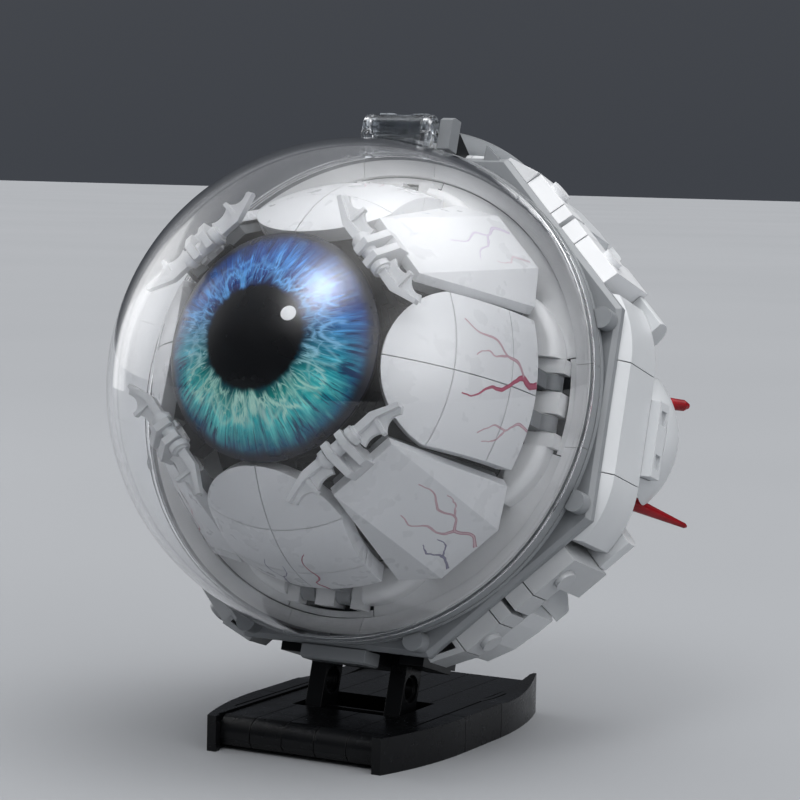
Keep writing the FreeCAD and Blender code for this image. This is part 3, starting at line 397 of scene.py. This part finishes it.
def iris_finish():
    """Printed iris under gloss: a black pupil in a net of pale threads, then fibres to a dark rim.

    Patterns lie on (cos t, sin t, radius), so they run outwards all round."""
    g = Graph("iris_print")
    x, z, reach = g.off_axis()
    reach = g.math("MAXIMUM", reach, 1e-5)
    radius = g.math("DIVIDE", reach, IRIS_RADIUS * MM)
    stretched, rounded = [g.around(x, z, reach, radius, pull) for pull in (0.16, 0.9)]
    fibres = g.noise(stretched, 13.0, 5.0, 0.62, 0.9)
    threads = g.noise(stretched, 34.0, 3.0, 0.6, 0.4)
    lobes = g.noise(stretched, 4.0, 2.0, 0.5)
    wavy = g.math("ADD", radius, g.remap(lobes, 0.3, 0.7, -0.05, 0.05))
    ragged = g.math("ADD", wavy, g.remap(threads, 0.3, 0.7, -0.04, 0.04))
    low = g.remap(g.math("DIVIDE", z, IRIS_RADIUS * MM), -0.45, 0.35, 1.0, 0.0, True)
    colour = iris_ground(g, stretched, wavy, ragged, low, fibres, threads)
    colour = iris_net(g, colour, rounded, wavy, low, lobes, threads)
    spots = g.remap(g.noise(stretched, 6.0, 3.0, 0.7, 0.6), 0.56, 0.72, 0.0, 0.6)
    band = g.math("MULTIPLY", g.remap(wavy, 0.52, 0.62, 0.0, 1.0),
                  g.remap(wavy, 0.66, 0.8, 1.0, 0.0))
    spots = g.math("MULTIPLY", spots, g.math("MULTIPLY", band, low), True)
    colour = g.mix(spots, colour, rgb(0.7, 0.85, 0.8))
    pupil_edge = g.math("ADD", radius, g.remap(fibres, 0.3, 0.7, -0.012, 0.012))
    pupil = g.remap(pupil_edge, *PUPIL_EDGE, 1.0, 0.0, True)
    colour = g.mix(pupil, colour, rgb(0.0012, 0.0014, 0.002))
    rim = g.remap(radius, *DARK_RIM, 0.0, 0.95, True)
    colour = g.mix(rim, colour, rgb(0.001, 0.003, 0.014))
    # painted glint: a white dot that stands for a catch-light on the pupil
    glint_x, glint_z, glint = [length * MM for length in GLINT]
    off = g.length(g.math("SUBTRACT", x, glint_x), g.math("SUBTRACT", z, glint_z))
    painted_glint = g.remap(off, glint * 0.93, glint, 1.0, 0.0, True)
    colour = g.mix(painted_glint, colour, rgb(0.95, 0.96, 0.97))
    g.join(colour, g.shader.inputs["Base Color"])
    gloss = g.remap(g.noise(g.object, 200.0, 2.0), 0.3, 0.7, 0.26, 0.32)
    g.join(gloss, g.shader.inputs["Roughness"])
    g.shader.inputs["Specular IOR Level"].default_value = 0.35
    g.shader.inputs["Coat Weight"].default_value = 0.1
    g.shader.inputs["Coat Roughness"].default_value = 0.22
    g.bump(g.noise(g.object, 900.0, 2.0), 0.03, 0.00003)
    return g.material


def printed_vein(name, middle, border):
    """Ink printed on plastic: a darker line each side of a paler middle, thinning in patches."""
    g = Graph(name)
    split = g.tree.nodes.new("ShaderNodeSeparateXYZ")
    g.join(g.tree.nodes.new("ShaderNodeTexCoord").outputs["UV"], split.inputs[0])
    from_middle = g.math("ABSOLUTE", g.math("SUBTRACT", split.outputs["Y"], 0.5))
    patch = g.noise(g.object, 420.0, 4.0, 0.6)
    edge = g.math("ADD", from_middle, g.remap(patch, 0.3, 0.7, -0.08, 0.08))
    ink = g.mix(g.remap(edge, 0.2, 0.34, 0.0, 1.0, True), rgb(*middle), rgb(*border))
    thin = g.mix(0.25, rgb(*border), rgb(0.8, 0.8, 0.81))
    g.join(g.mix(g.remap(patch, 0.5, 0.75, 0.0, 0.6), ink, thin), g.shader.inputs["Base Color"])
    g.join(g.remap(patch, 0.3, 0.7, 0.32, 0.45), g.shader.inputs["Roughness"])
    return g.material


def vessel_finish():
    """Dark red plastic that lets some light in."""
    g = Graph("vessel_red")
    streak = g.noise(g.object, 120.0, 3.0, 0.5, 0.5)
    g.join(g.ramp(streak, [(0.3, rgb(0.28, 0.004, 0.01)), (0.75, rgb(0.52, 0.012, 0.025))]),
           g.shader.inputs["Base Color"])
    g.join(g.remap(streak, 0.3, 0.7, 0.14, 0.22), g.shader.inputs["Roughness"])
    g.shader.inputs["Transmission Weight"].default_value = 0.35
    g.shader.inputs["IOR"].default_value = 1.5
    g.bump(g.noise(g.object, 1500.0, 2.0), 0.05, 0.00005)
    return g.material


PETAL = (0.80, 0.81, 0.825)
SHELL = (0.74, 0.75, 0.765)
LINER = (0.92, 0.925, 0.93)
BLOCK = (0.45, 0.462, 0.475)
PANEL = (0.58, 0.595, 0.61)
GREY = (0.25, 0.262, 0.275)
BRACKET = (0.24, 0.25, 0.26)
BLACK = (0.006, 0.0065, 0.0075)
CORE = (0.009, 0.01, 0.012)

FINISHES = {
    "stand_black": moulded("stand_black", BLACK, 0.27, mottle=0.15, grain=0.04, specular=0.32),
    "core_black": moulded("core_black", CORE, 0.32, mottle=0.15, specular=0.35, wear_and_highlight=0.15),
    "ring_grey": moulded("ring_grey", GREY, 0.36),
    "rim_two_tone": moulded("rim_two_tone", LINER, 0.33, outer=(RIM_WHITE, GREY)),
    "liner_white": moulded("liner_white", LINER, 0.33),
    "block_grey": moulded("block_grey", BLOCK, 0.36),
    "bracket_grey": moulded("bracket_grey", BRACKET, 0.34),
    "shell_white": moulded("shell_white", SHELL, 0.33),
    "petal_white": moulded("petal_white", PETAL, 0.3, mottle=0.015, grain=0.05),
    "panel_white": moulded("panel_white", PANEL, 0.36),
    "clear_dome": clear("clear_dome", rgb(0.985, 0.99, 1.0), 0.012),
    "clear_hinge": clear("clear_hinge", rgb(0.9, 0.92, 0.94), 0.12),
    "smoke_hinge": clear("smoke_hinge", rgb(0.62, 0.65, 0.68), 0.2),
    "iris_print": iris_finish(),
    "vessel_red": vessel_finish(),
    "vein_red": printed_vein("vein_red", (0.52, 0.15, 0.22), (0.40, 0.09, 0.15)),
    "vein_pink": printed_vein("vein_pink", (0.70, 0.52, 0.57), (0.46, 0.24, 0.29)),
    "vein_rose": printed_vein("vein_rose", (0.75, 0.66, 0.70), (0.62, 0.46, 0.51)),
    "vein_lilac": printed_vein("vein_lilac", (0.70, 0.65, 0.75), (0.58, 0.51, 0.63)),
    "vein_slate": printed_vein("vein_slate", (0.30, 0.29, 0.40), (0.16, 0.15, 0.24)),
}


def finish_of(node):
    """Which finish a CAD node wears."""
    if node.startswith("petal_") and not node.endswith(("_carrier", "_bars", "_ring")):
        return "petal_white"
    if node == "hinge_knuckle":
        return "smoke_hinge"
    if node == "rim_ring":
        return "rim_two_tone"
    if node in ("petal_ring", "petal_bars"):
        return "liner_white"
    # upper corner blocks white and lower ones darker grey: painted shade on the downward-facing
    # lower blocks, lit and shaded copies of one block
    if node.startswith("corner_blocks_upper"):
        return "shell_white"
    if node.startswith("corner_blocks_lower"):
        return "block_grey"
    if node.startswith(("side_panel", "corner_", "rear_", "side_latch", "side_dish", "top_dish")):
        return "ring_grey" if node == "corner_studs" else "panel_white"
    slots = {part["node"]: part["material_slot"] for part in frame["record"]["subparts"]}
    return slots[node]


def dress_nodes():
    """Gives every CAD node its finish."""
    for name, node in frame["nodes"].items():
        node.data.materials.clear()
        node.data.materials.append(FINISHES[finish_of(name)])


# ---------------------------------------------------------------- clear dome
def arc(radius, start, end, count, centre=(0.0, 0.0)):
    """Points on a circle in the profile plane, in degrees from straight out to the front."""
    angle = np.radians(np.linspace(start, end, count))
    return np.stack([centre[0] + radius * np.cos(angle), centre[1] - radius * np.sin(angle)], -1)


def dome_skin():
    """Half sphere of even thickness, spun from its section: outer arc, round flange, inner arc."""
    inner = DOME_RADIUS - DOME_WALL
    rim = math.degrees(math.asin(FLANGE_DEPTH / DOME_RADIUS))
    outside = arc(DOME_RADIUS, 90.0, rim, 110)
    inset = FLANGE_RADIUS - FLANGE_EDGE
    front_corner = arc(FLANGE_EDGE, 90.0, 0.0, 5, (inset, -FLANGE_DEPTH + FLANGE_EDGE))
    back_corner = arc(FLANGE_EDGE, 0.0, -90.0, 5, (inset, -FLANGE_EDGE))
    inside = arc(inner, 0.0, 90.0, 100)
    profile = np.concatenate([outside, front_corner, back_corner, inside])
    points = eye(lathe(profile, DOME_STEPS))
    faces = grid_faces(DOME_STEPS, len(profile), wrap_rows=True)
    piece = new_piece("dome_skin", points, faces, FINISHES["clear_dome"], "dome")
    welded(piece)
    piece.data.set_sharp_from_angle(angle=math.radians(40.0))
    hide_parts("dome_shell")
    return piece


def dome_ear(side):
    """Hinge ear: the outline of a neck and a barrel with the pin's bore, drawn out along X."""
    angle = np.linspace(0.0, 2.0 * math.pi, EAR_STEPS, endpoint=False)
    along, rise = np.cos(angle), np.sin(angle)
    reach = np.full(EAR_STEPS, HINGE_BARREL)
    down, front, behind = rise < -1e-6, along < -1e-6, along > 1e-6
    to_foot = np.where(down, (EAR_FOOT - HINGE_HEIGHT) / np.where(down, rise, -1.0), np.inf)
    to_front = np.where(front, -HINGE_BARREL / np.where(front, along, -1.0), np.inf)
    to_back = np.where(behind, HINGE_DEPTH / np.where(behind, along, 1.0), np.inf)
    neck = np.minimum(np.minimum(to_foot, to_front), to_back)
    neck = np.minimum(neck, EAR_REACH)
    reach = np.where(down, np.maximum(neck, np.where(behind, 0.0, HINGE_BARREL)), reach)
    rings = []
    bore = np.full(EAR_STEPS, BORE_RADIUS)
    low, high = EAR_SPAN
    for radius, x in ((reach - EAR_EDGE, low), (reach, low + EAR_EDGE), (reach, high - EAR_EDGE),
                      (reach - EAR_EDGE, high), (bore, high), (bore, low)):
        y = -HINGE_DEPTH + along * radius
        z = HINGE_HEIGHT + rise * radius
        rings.append(np.stack([np.full(EAR_STEPS, side * x), y, z], -1))
    points = eye(np.stack(rings))
    faces = grid_faces(len(rings), EAR_STEPS, wrap_rows=True, wrap_columns=True)
    name = "dome_ear_right" if side > 0 else "dome_ear_left"
    piece = new_piece(name, points, faces, FINISHES["clear_hinge"], "dome")
    welded(piece)
    piece.data.set_sharp_from_angle(angle=math.radians(35.0))
    return piece


# ---------------------------------------------------------------- iris
def iris_lens():
    """Domed dish spun from its section: sphere cap outside, rounded rim, parallel cap inside."""
    height = IRIS_APEX - IRIS_RIM_FRONT
    ball = (IRIS_RADIUS ** 2 + height ** 2) / (2.0 * height)
    middle = -(IRIS_APEX - ball)
    edge = math.degrees(math.acos(IRIS_RADIUS / ball))
    outside = arc(ball, 90.0, edge, 90, (0.0, middle))
    centre = (IRIS_RADIUS - LIP_INSET[0], -IRIS_RIM_FRONT + LIP_INSET[1])
    rim = arc(IRIS_LIP, 35.0, -90.0, 8, centre)
    inside = arc(ball - DISH_WALL, edge + 3.0, 90.0, 40, (0.0, middle))
    profile = np.concatenate([outside, rim, inside])
    points = eye(lathe(profile, IRIS_STEPS))
    faces = grid_faces(IRIS_STEPS, len(profile), wrap_rows=True)
    piece = new_piece("iris_lens", points, faces, FINISHES["iris_print"], "eyeball")
    welded(piece)
    piece.data.set_sharp_from_angle(angle=math.radians(50.0))
    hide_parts("iris_dish")
    return piece


# ---------------------------------------------------------------- liner
def liner_plates():
    """Thin curved plates on the drum's face: wide on the diagonals, narrow past each hinge.

    Each is a chamfered section swept round an arc, closed by a fan at both ends."""
    back, front, chamfer, steps = DRUM_FRONT, DRUM_FRONT - LINER_THICK, LINER_CHAMFER, 40
    points, faces, first = [], [], 0
    for (inner, outer), half_angle, middles in ((LINER_SPAN, LINER_HALF_ANGLE, CORNERS.values()),
                                                (NARROW_SPAN, NARROW_HALF_ANGLE, SIDES.values())):
        section = np.array([(inner, back), (inner, front + chamfer), (inner + chamfer, front),
                            (outer - chamfer, front), (outer, front + chamfer), (outer, back)])
        closed = np.repeat(section.mean(axis=0)[None], len(section), axis=0)
        rows = np.stack([closed] + [section] * steps + [closed])
        turns = np.linspace(-half_angle, half_angle, steps)
        turns = np.radians(np.concatenate([turns[:1], turns, turns[-1:]]))
        for middle in middles:
            angle = (turns + math.radians(middle))[:, None]
            radius, depth = rows[..., 0], rows[..., 1]
            swept = np.stack([radius * np.cos(angle), depth, radius * np.sin(angle)], -1)
            points.append(swept.reshape(-1, 3))
            faces.append(grid_faces(len(turns), len(section), wrap_columns=True) + first)
            first += len(turns) * len(section)
    piece = new_piece("liner_plates", eye(np.concatenate(points)), np.concatenate(faces),
                      FINISHES["liner_white"], "eyeball", smooth=False)
    welded(piece)
    return piece


# ---------------------------------------------------------------- printed veins
def smooth_path(points, count):
    """Catmull-Rom curve through given points: each span blends its ends and their slopes."""
    knots = np.asarray(points, float)
    padded = np.concatenate([2 * knots[:1] - knots[1:2], knots, 2 * knots[-1:] - knots[-2:-1]])
    place = np.linspace(0.0, len(knots) - 1 - 1e-9, count)
    span = place.astype(int)
    t = (place - span)[:, None]
    a, b, c, d = (padded[span + k] for k in range(4))
    square = (2 * a - 5 * b + 4 * c - d) * t ** 2
    cube = (3 * b - a - 3 * c + d) * t ** 3
    return 0.5 * (2 * b + (c - a) * t + square + cube)


def vein_ribbon(rng, points, wide, narrow):
    """A vein's path and widths: a smooth curve with a fine tremble, tapering from root to tip."""
    count = VEIN_STEPS * len(points)
    path = smooth_path(points, count)
    t = np.linspace(0.0, 1.0, count)
    tremble = sum(rng.normal(0.0, TREMBLE / k, 2)[None, :]
                  * np.sin(2.0 * math.pi * (3 * k * t[:, None] + rng.random(2)))
                  for k in (1, 2, 4))
    swell = 1.0 + SWELL * np.sin(2.0 * math.pi * (2.5 * t + rng.random()))
    width = (wide + (narrow - wide) * t ** 0.7) * swell * VEIN_WIDTH
    return path + tremble * np.minimum(t, STILL_ROOT)[:, None] / STILL_ROOT, width


def ribbon_mesh(ribbons, lift):
    """Flat strips along paths in a petal's own plane, carried onto its surface by lift(u, v).

    Across each strip run three columns of points, at the left edge, middle and right edge."""
    points, faces, places, first = [], [], [], 0
    for path, width in ribbons:
        along = np.gradient(path, axis=0)
        along /= np.linalg.norm(along, axis=1)[:, None]
        across = np.stack([-along[:, 1], along[:, 0]], -1) * width[:, None] / 2.0
        columns = np.stack([path + across, path, path - across], 1)
        points.append(lift(columns[..., 0], columns[..., 1]).reshape(-1, 3))
        faces.append(grid_faces(len(path), 3) + first)
        place = np.meshgrid(np.linspace(0.0, 1.0, len(path)), [0.0, 0.5, 1.0], indexing="ij")
        places.append(np.stack(place, -1).reshape(-1, 2))
        first += 3 * len(path)
    return np.concatenate(points), np.concatenate(faces), np.concatenate(places)


def side_surface(u, v):
    """Point on a side petal: back u and across v, out on the sphere: x = sqrt(R^2 - u^2 - v^2)."""
    radius = PETAL_RADIUS + PRINT_LIFT
    return np.stack([np.sqrt(np.maximum(radius ** 2 - u ** 2 - v ** 2, 1.0)), u, v], -1)


def corner_surface(u, v):
    """Point on a diagonal petal: u down its flat, v across; past the flat's edge, on the cheek."""
    inner, outer = np.array([*WEDGE_INNER, 0.0]), np.array([*WEDGE_OUTER, 0.0])
    down = (outer - inner) / np.linalg.norm(outer - inner)
    out = np.array([-down[1], down[0], 0.0])
    out = out if out[0] > 0 else -out
    cheek = np.array(WEDGE_CHEEK)
    corner = inner + np.array([0.0, 0.0, WEDGE_HALF_WIDTH])
    cheek_drop = (cheek - corner) @ out
    spread = np.maximum(np.abs(v) - WEDGE_HALF_WIDTH, 0.0)
    drop = spread * cheek_drop / (WEDGE_CHEEK[2] - WEDGE_HALF_WIDTH)
    across = np.array([0.0, 0.0, 1.0])
    flat = inner + u[..., None] * down
    return flat + (drop + PRINT_LIFT)[..., None] * out + v[..., None] * across


def facing_out(points, faces):
    """Turns faces over where they look in, towards the eye's centre."""
    a, b, c = (points[faces[:, k]] for k in (0, 1, 2))
    normal = np.cross(b - a, c - a)
    wrong = np.einsum("ij,ij->i", normal, a) < 0
    faces[wrong] = faces[wrong][:, ::-1]
    return faces


def veins(name, body, angle, surface, paths, finish, rng):
    """One petal's printed veins of one colour."""
    ribbons = [vein_ribbon(rng, points, wide, narrow) for points, wide, narrow in paths]
    points, faces, places = ribbon_mesh(ribbons, surface)
    faces = facing_out(points, faces)
    piece = new_piece(name, eye(about_axis(points, angle)), faces, FINISHES[finish], body)
    layer = piece.data.uv_layers.new(name="along_across")
    layer.data.foreach_set("uv", places[faces.reshape(-1)].reshape(-1))
    return piece


# each vein: its points, root first, and its width at the root and at the tip. A point is (back,
# across) on a side petal, and (outwards along the flat face, across) on a diagonal one
SIDE_VEINS = {
    "right": {
        "vein_red": [
            ([(-5.7, 2.2), (-8.2, 1.4), (-10.8, 2.6), (-13.2, 1.0), (-16.5, -1.2), (-19.2, -1.6),
              (-22.4, -4.0), (-25.0, -4.2)], 2.3, 0.3),
        ],
        "vein_pink": [
            ([(-10.6, 2.8), (-12.6, 5.4), (-15.8, 6.0), (-18.4, 8.6), (-22.6, 9.2), (-25.4, 11.2),
              ], 1.0, 0.3),
            ([(-15.8, 6.0), (-18.6, 5.2), (-21.0, 5.8), (-23.2, 4.4)], 0.6, 0.2),
            ([(-5.7, -7.6), (-9.4, -7.0), (-12.6, -9.0), (-16.0, -8.8), (-19.2, -11.2)], 0.9, 0.25),
            ([(-12.6, -9.0), (-14.4, -11.6), (-17.4, -12.6)], 0.6, 0.2),
        ],
    },
    "top": {
        "vein_rose": [
            ([(-5.7, -3.0), (-9.6, -1.6), (-12.8, -3.6), (-17.0, -2.8), (-20.6, -5.0)], 0.9, 0.25),
            ([(-12.8, -3.6), (-15.4, -6.2), (-18.6, -7.0)], 0.6, 0.2),
        ],
    },
    "left": {
        "vein_red": [
            ([(-5.7, -2.4), (-9.0, -1.0), (-12.4, -2.6), (-16.8, -1.2), (-20.4, -3.0)], 1.7, 0.3),
        ],
        "vein_pink": [
            ([(-12.4, -2.6), (-15.2, -5.8), (-19.0, -6.2), (-22.0, -8.8)], 0.8, 0.25),
            ([(-5.7, 7.0), (-9.8, 6.2), (-13.4, 8.4), (-17.6, 7.8), (-20.8, 10.0)], 0.8, 0.25),
        ],
    },
    "bottom": {
        "vein_red": [
            ([(-5.7, 4.0), (-9.4, 3.0), (-13.0, 4.8), (-17.2, 3.4), (-21.0, 5.0)], 0.8, 0.2),
        ],
        "vein_slate": [
            ([(-5.7, -6.0), (-10.0, -5.2), (-13.6, -7.2), (-17.8, -6.2)], 0.7, 0.2),
            ([(-10.0, -5.2), (-13.0, -2.8), (-16.4, -2.2)], 0.5, 0.15),
        ],
    },
}
CORNER_VEINS = {
    "upper_right": {
        "vein_lilac": [
            ([(35.2, 2.6), (31.6, 4.2), (28.0, 2.2), (24.4, 3.0), (20.2, 0.6), (15.8, 1.2),
              ], 1.2, 0.3),
            ([(28.0, 2.2), (25.8, -0.8), (22.6, -2.0), (20.6, -4.6)], 0.8, 0.25),
        ],
        "vein_rose": [
            ([(34.6, -6.2), (31.0, -4.6), (28.2, -6.2), (25.0, -5.6)], 0.8, 0.25),
        ],
    },
    "upper_left": {
        "vein_rose": [
            ([(35.0, -3.2), (31.2, -1.8), (27.6, -3.6), (23.0, -2.4), (19.0, -4.4)], 0.9, 0.25),
        ],
        "vein_lilac": [
            ([(27.6, -3.6), (24.8, -6.2), (21.4, -6.8)], 0.7, 0.2),
        ],
    },
    "lower_left": {
        "vein_red": [
            ([(35.2, 1.6), (31.0, 3.0), (27.2, 1.4), (22.8, 2.6), (18.6, 1.0)], 0.9, 0.25),
        ],
        "vein_pink": [
            ([(27.2, 1.4), (24.6, -1.6), (21.0, -2.4), (18.4, -5.0)], 0.7, 0.2),
        ],
    },
    "lower_right": {
        "vein_pink": [
            ([(35.3, 2.0), (32.0, 3.6), (28.4, 2.0), (25.2, 4.4), (21.0, 3.4), (16.4, 5.6),
              (12.6, 5.0)], 1.2, 0.3),
            ([(28.4, 2.0), (26.0, -0.6), (22.6, -0.8), (19.4, -3.0), (15.6, -2.6)], 0.9, 0.25),
            ([(25.2, 4.4), (22.8, 6.6), (19.6, 7.2)], 0.6, 0.2),
        ],
        "vein_slate": [
            ([(34.9, -5.4), (31.4, -4.0), (28.0, -5.6), (25.4, -4.6)], 0.9, 0.3),
            ([(31.4, -4.0), (29.4, -1.6), (26.8, -1.8)], 0.6, 0.2),
        ],
    },
}


def all_veins():
    """Every petal's veins: side petals ride on their own bodies, diagonal ones on the eyeball."""
    rng = np.random.default_rng(11)
    for table, surface in ((SIDE_VEINS, side_surface), (CORNER_VEINS, corner_surface)):
        for side, colours in table.items():
            body = "petal_" + side + "_flap" if side in SIDES else "eyeball"
            angle = SIDES.get(side, CORNERS.get(side))
            for finish, paths in colours.items():
                veins(finish + "_" + side, body, angle, surface, paths, finish, rng)


# ---------------------------------------------------------------- studio
FLOOR_HALF = 12.0                   # metres
FLOOR_TONES = (rgb(0.34, 0.35, 0.365), rgb(0.36, 0.37, 0.385))
# the sky's colour by height, from the horizon to overhead
SKY = (
    (0.0, rgb(0.06, 0.065, 0.075)),
    (0.35, rgb(0.09, 0.095, 0.105)),
    (0.7, rgb(0.26, 0.265, 0.28)),
    (1.0, rgb(1.2, 1.2, 1.2)),
)
# soft glows in the sky: direction, tightness, strength
GLOWS = (
    ((0.05, -0.65, 0.76), 60.0, 8.0),
    ((0.34, 0.14, 0.93), 10.0, 2.3),
    ((0.80, -0.45, 0.40), 14.0, 2.2),
    ((-0.97, 0.05, 0.28), 14.0, 1.8),
)
STRIP_PLACE = (-0.95, 0.30, 0.22)
STRIP_TARGET = (0.0, 0.0, 0.075)
STRIP_SIZE = (0.3, 0.7)
STRIP_WATTS = 0.4


def pale_floor():
    """Plain square floor with a faint drift in its tone."""
    floor = bpy.data.meshes.new("floor")
    corners = [(-FLOOR_HALF, -FLOOR_HALF, 0), (FLOOR_HALF, -FLOOR_HALF, 0),
               (FLOOR_HALF, FLOOR_HALF, 0), (-FLOOR_HALF, FLOOR_HALF, 0)]
    floor.from_pydata(corners, [], [(0, 1, 2, 3)])
    plane = bpy.data.objects.new("floor", floor)
    bpy.context.scene.collection.objects.link(plane)
    g = Graph("floor_pale")
    tone = g.ramp(g.noise(g.object, 2.0, 2.0), [(0.3, FLOOR_TONES[0]), (0.7, FLOOR_TONES[1])])
    g.join(tone, g.shader.inputs["Base Color"])
    g.shader.inputs["Roughness"].default_value = 0.6
    floor.materials.append(g.material)


def sky():
    """A sky that is dim near the horizon, with wide soft glows above."""
    world = bpy.data.worlds.new("studio")
    bpy.context.scene.world = world
    world.use_nodes = True
    tree = world.node_tree
    direction = tree.nodes.new("ShaderNodeTexCoord").outputs["Generated"]
    split = tree.nodes.new("ShaderNodeSeparateXYZ")
    tree.links.new(direction, split.inputs[0])
    ramp = tree.nodes.new("ShaderNodeValToRGB")
    tree.links.new(split.outputs["Z"], ramp.inputs["Fac"])
    elements = ramp.color_ramp.elements
    elements[0].position, elements[0].color = SKY[0]
    elements[1].position, elements[1].color = SKY[-1]
    for place, colour in SKY[1:-1]:
        elements.new(place).color = colour
    total = ramp.outputs["Color"]
    for towards, tightness, strength in GLOWS:
        total = glow(tree, direction, total, towards, tightness, strength)
    tree.links.new(total, tree.nodes["Background"].inputs["Color"])
    tree.nodes["Background"].inputs["Strength"].default_value = 1.0


def glow(tree, coordinates, base, direction, tightness, strength):
    """Adds strength * (cosine of the angle from direction) ^ tightness to a sky colour."""
    cosine = tree.nodes.new("ShaderNodeVectorMath")
    cosine.operation = "DOT_PRODUCT"
    tree.links.new(coordinates, cosine.inputs[0])
    cosine.inputs[1].default_value = Vector(direction).normalized()
    value = cosine.outputs["Value"]
    for operation, amount in (("MAXIMUM", 0.0), ("POWER", tightness), ("MULTIPLY", strength)):
        step = tree.nodes.new("ShaderNodeMath")
        step.operation = operation
        step.inputs[1].default_value = amount
        tree.links.new(value, step.inputs[0])
        value = step.outputs["Value"]
    added = tree.nodes.new("ShaderNodeVectorMath")
    added.operation = "ADD"
    tree.links.new(base, added.inputs[0])
    tree.links.new(value, added.inputs[1])
    return added.outputs["Vector"]


def strip_light():
    """Upright soft lamp on the left, which the dome's edge mirrors as a streak."""
    light = bpy.data.lights.new("strip", "AREA")
    light.shape = "RECTANGLE"
    light.size, light.size_y = STRIP_SIZE
    light.energy = STRIP_WATTS
    lamp = bpy.data.objects.new("strip", light)
    lamp.location = STRIP_PLACE
    aim = Vector(STRIP_TARGET) - Vector(STRIP_PLACE)
    lamp.rotation_euler = aim.to_track_quat("-Z", "Y").to_euler()
    bpy.context.scene.collection.objects.link(lamp)


CAMERA_PLACE = (0.2797, -0.5189, 0.1274)
CAMERA_TURN = 0.489         # radians round from the front
CAMERA_DIP = 0.088          # radians looking down
CAMERA_ROLL = 0.022         # radians; the camera's right side tips up
CAMERA_LENS = 118.73        # mm on a 36 mm sensor


def camera():
    """Camera in front, to the right and just above the stand, looking slightly down."""
    right = Vector((math.cos(CAMERA_TURN), math.sin(CAMERA_TURN), 0.0))
    ahead = Vector((-math.sin(CAMERA_TURN) * math.cos(CAMERA_DIP),
                    math.cos(CAMERA_TURN) * math.cos(CAMERA_DIP), -math.sin(CAMERA_DIP)))
    upward = right.cross(ahead)
    rolled_right = right * math.cos(CAMERA_ROLL) + upward * math.sin(CAMERA_ROLL)
    rolled_up = upward * math.cos(CAMERA_ROLL) - right * math.sin(CAMERA_ROLL)
    data = bpy.data.cameras.new("camera")
    data.lens = CAMERA_LENS
    data.sensor_width = 36.0
    data.clip_start, data.clip_end = 0.01, 20.0
    item = bpy.data.objects.new("camera", data)
    turn = Matrix((rolled_right, rolled_up, -ahead)).transposed().to_4x4()
    item.matrix_world = Matrix.Translation(CAMERA_PLACE) @ turn
    bpy.context.scene.collection.objects.link(item)
    bpy.context.scene.camera = item


# ---------------------------------------------------------------- everything
def build():
    """Dresses the CAD nodes, adds the scene's own pieces and sets up the studio."""
    bpy.context.scene.view_settings.view_transform = "Standard"
    bpy.context.scene.view_settings.look = "Medium High Contrast"
    dress_nodes()
    dome_skin()
    dome_ear(1)
    dome_ear(-1)
    iris_lens()
    liner_plates()
    all_veins()
    pale_floor()
    sky()
    strip_light()
    camera()


build()
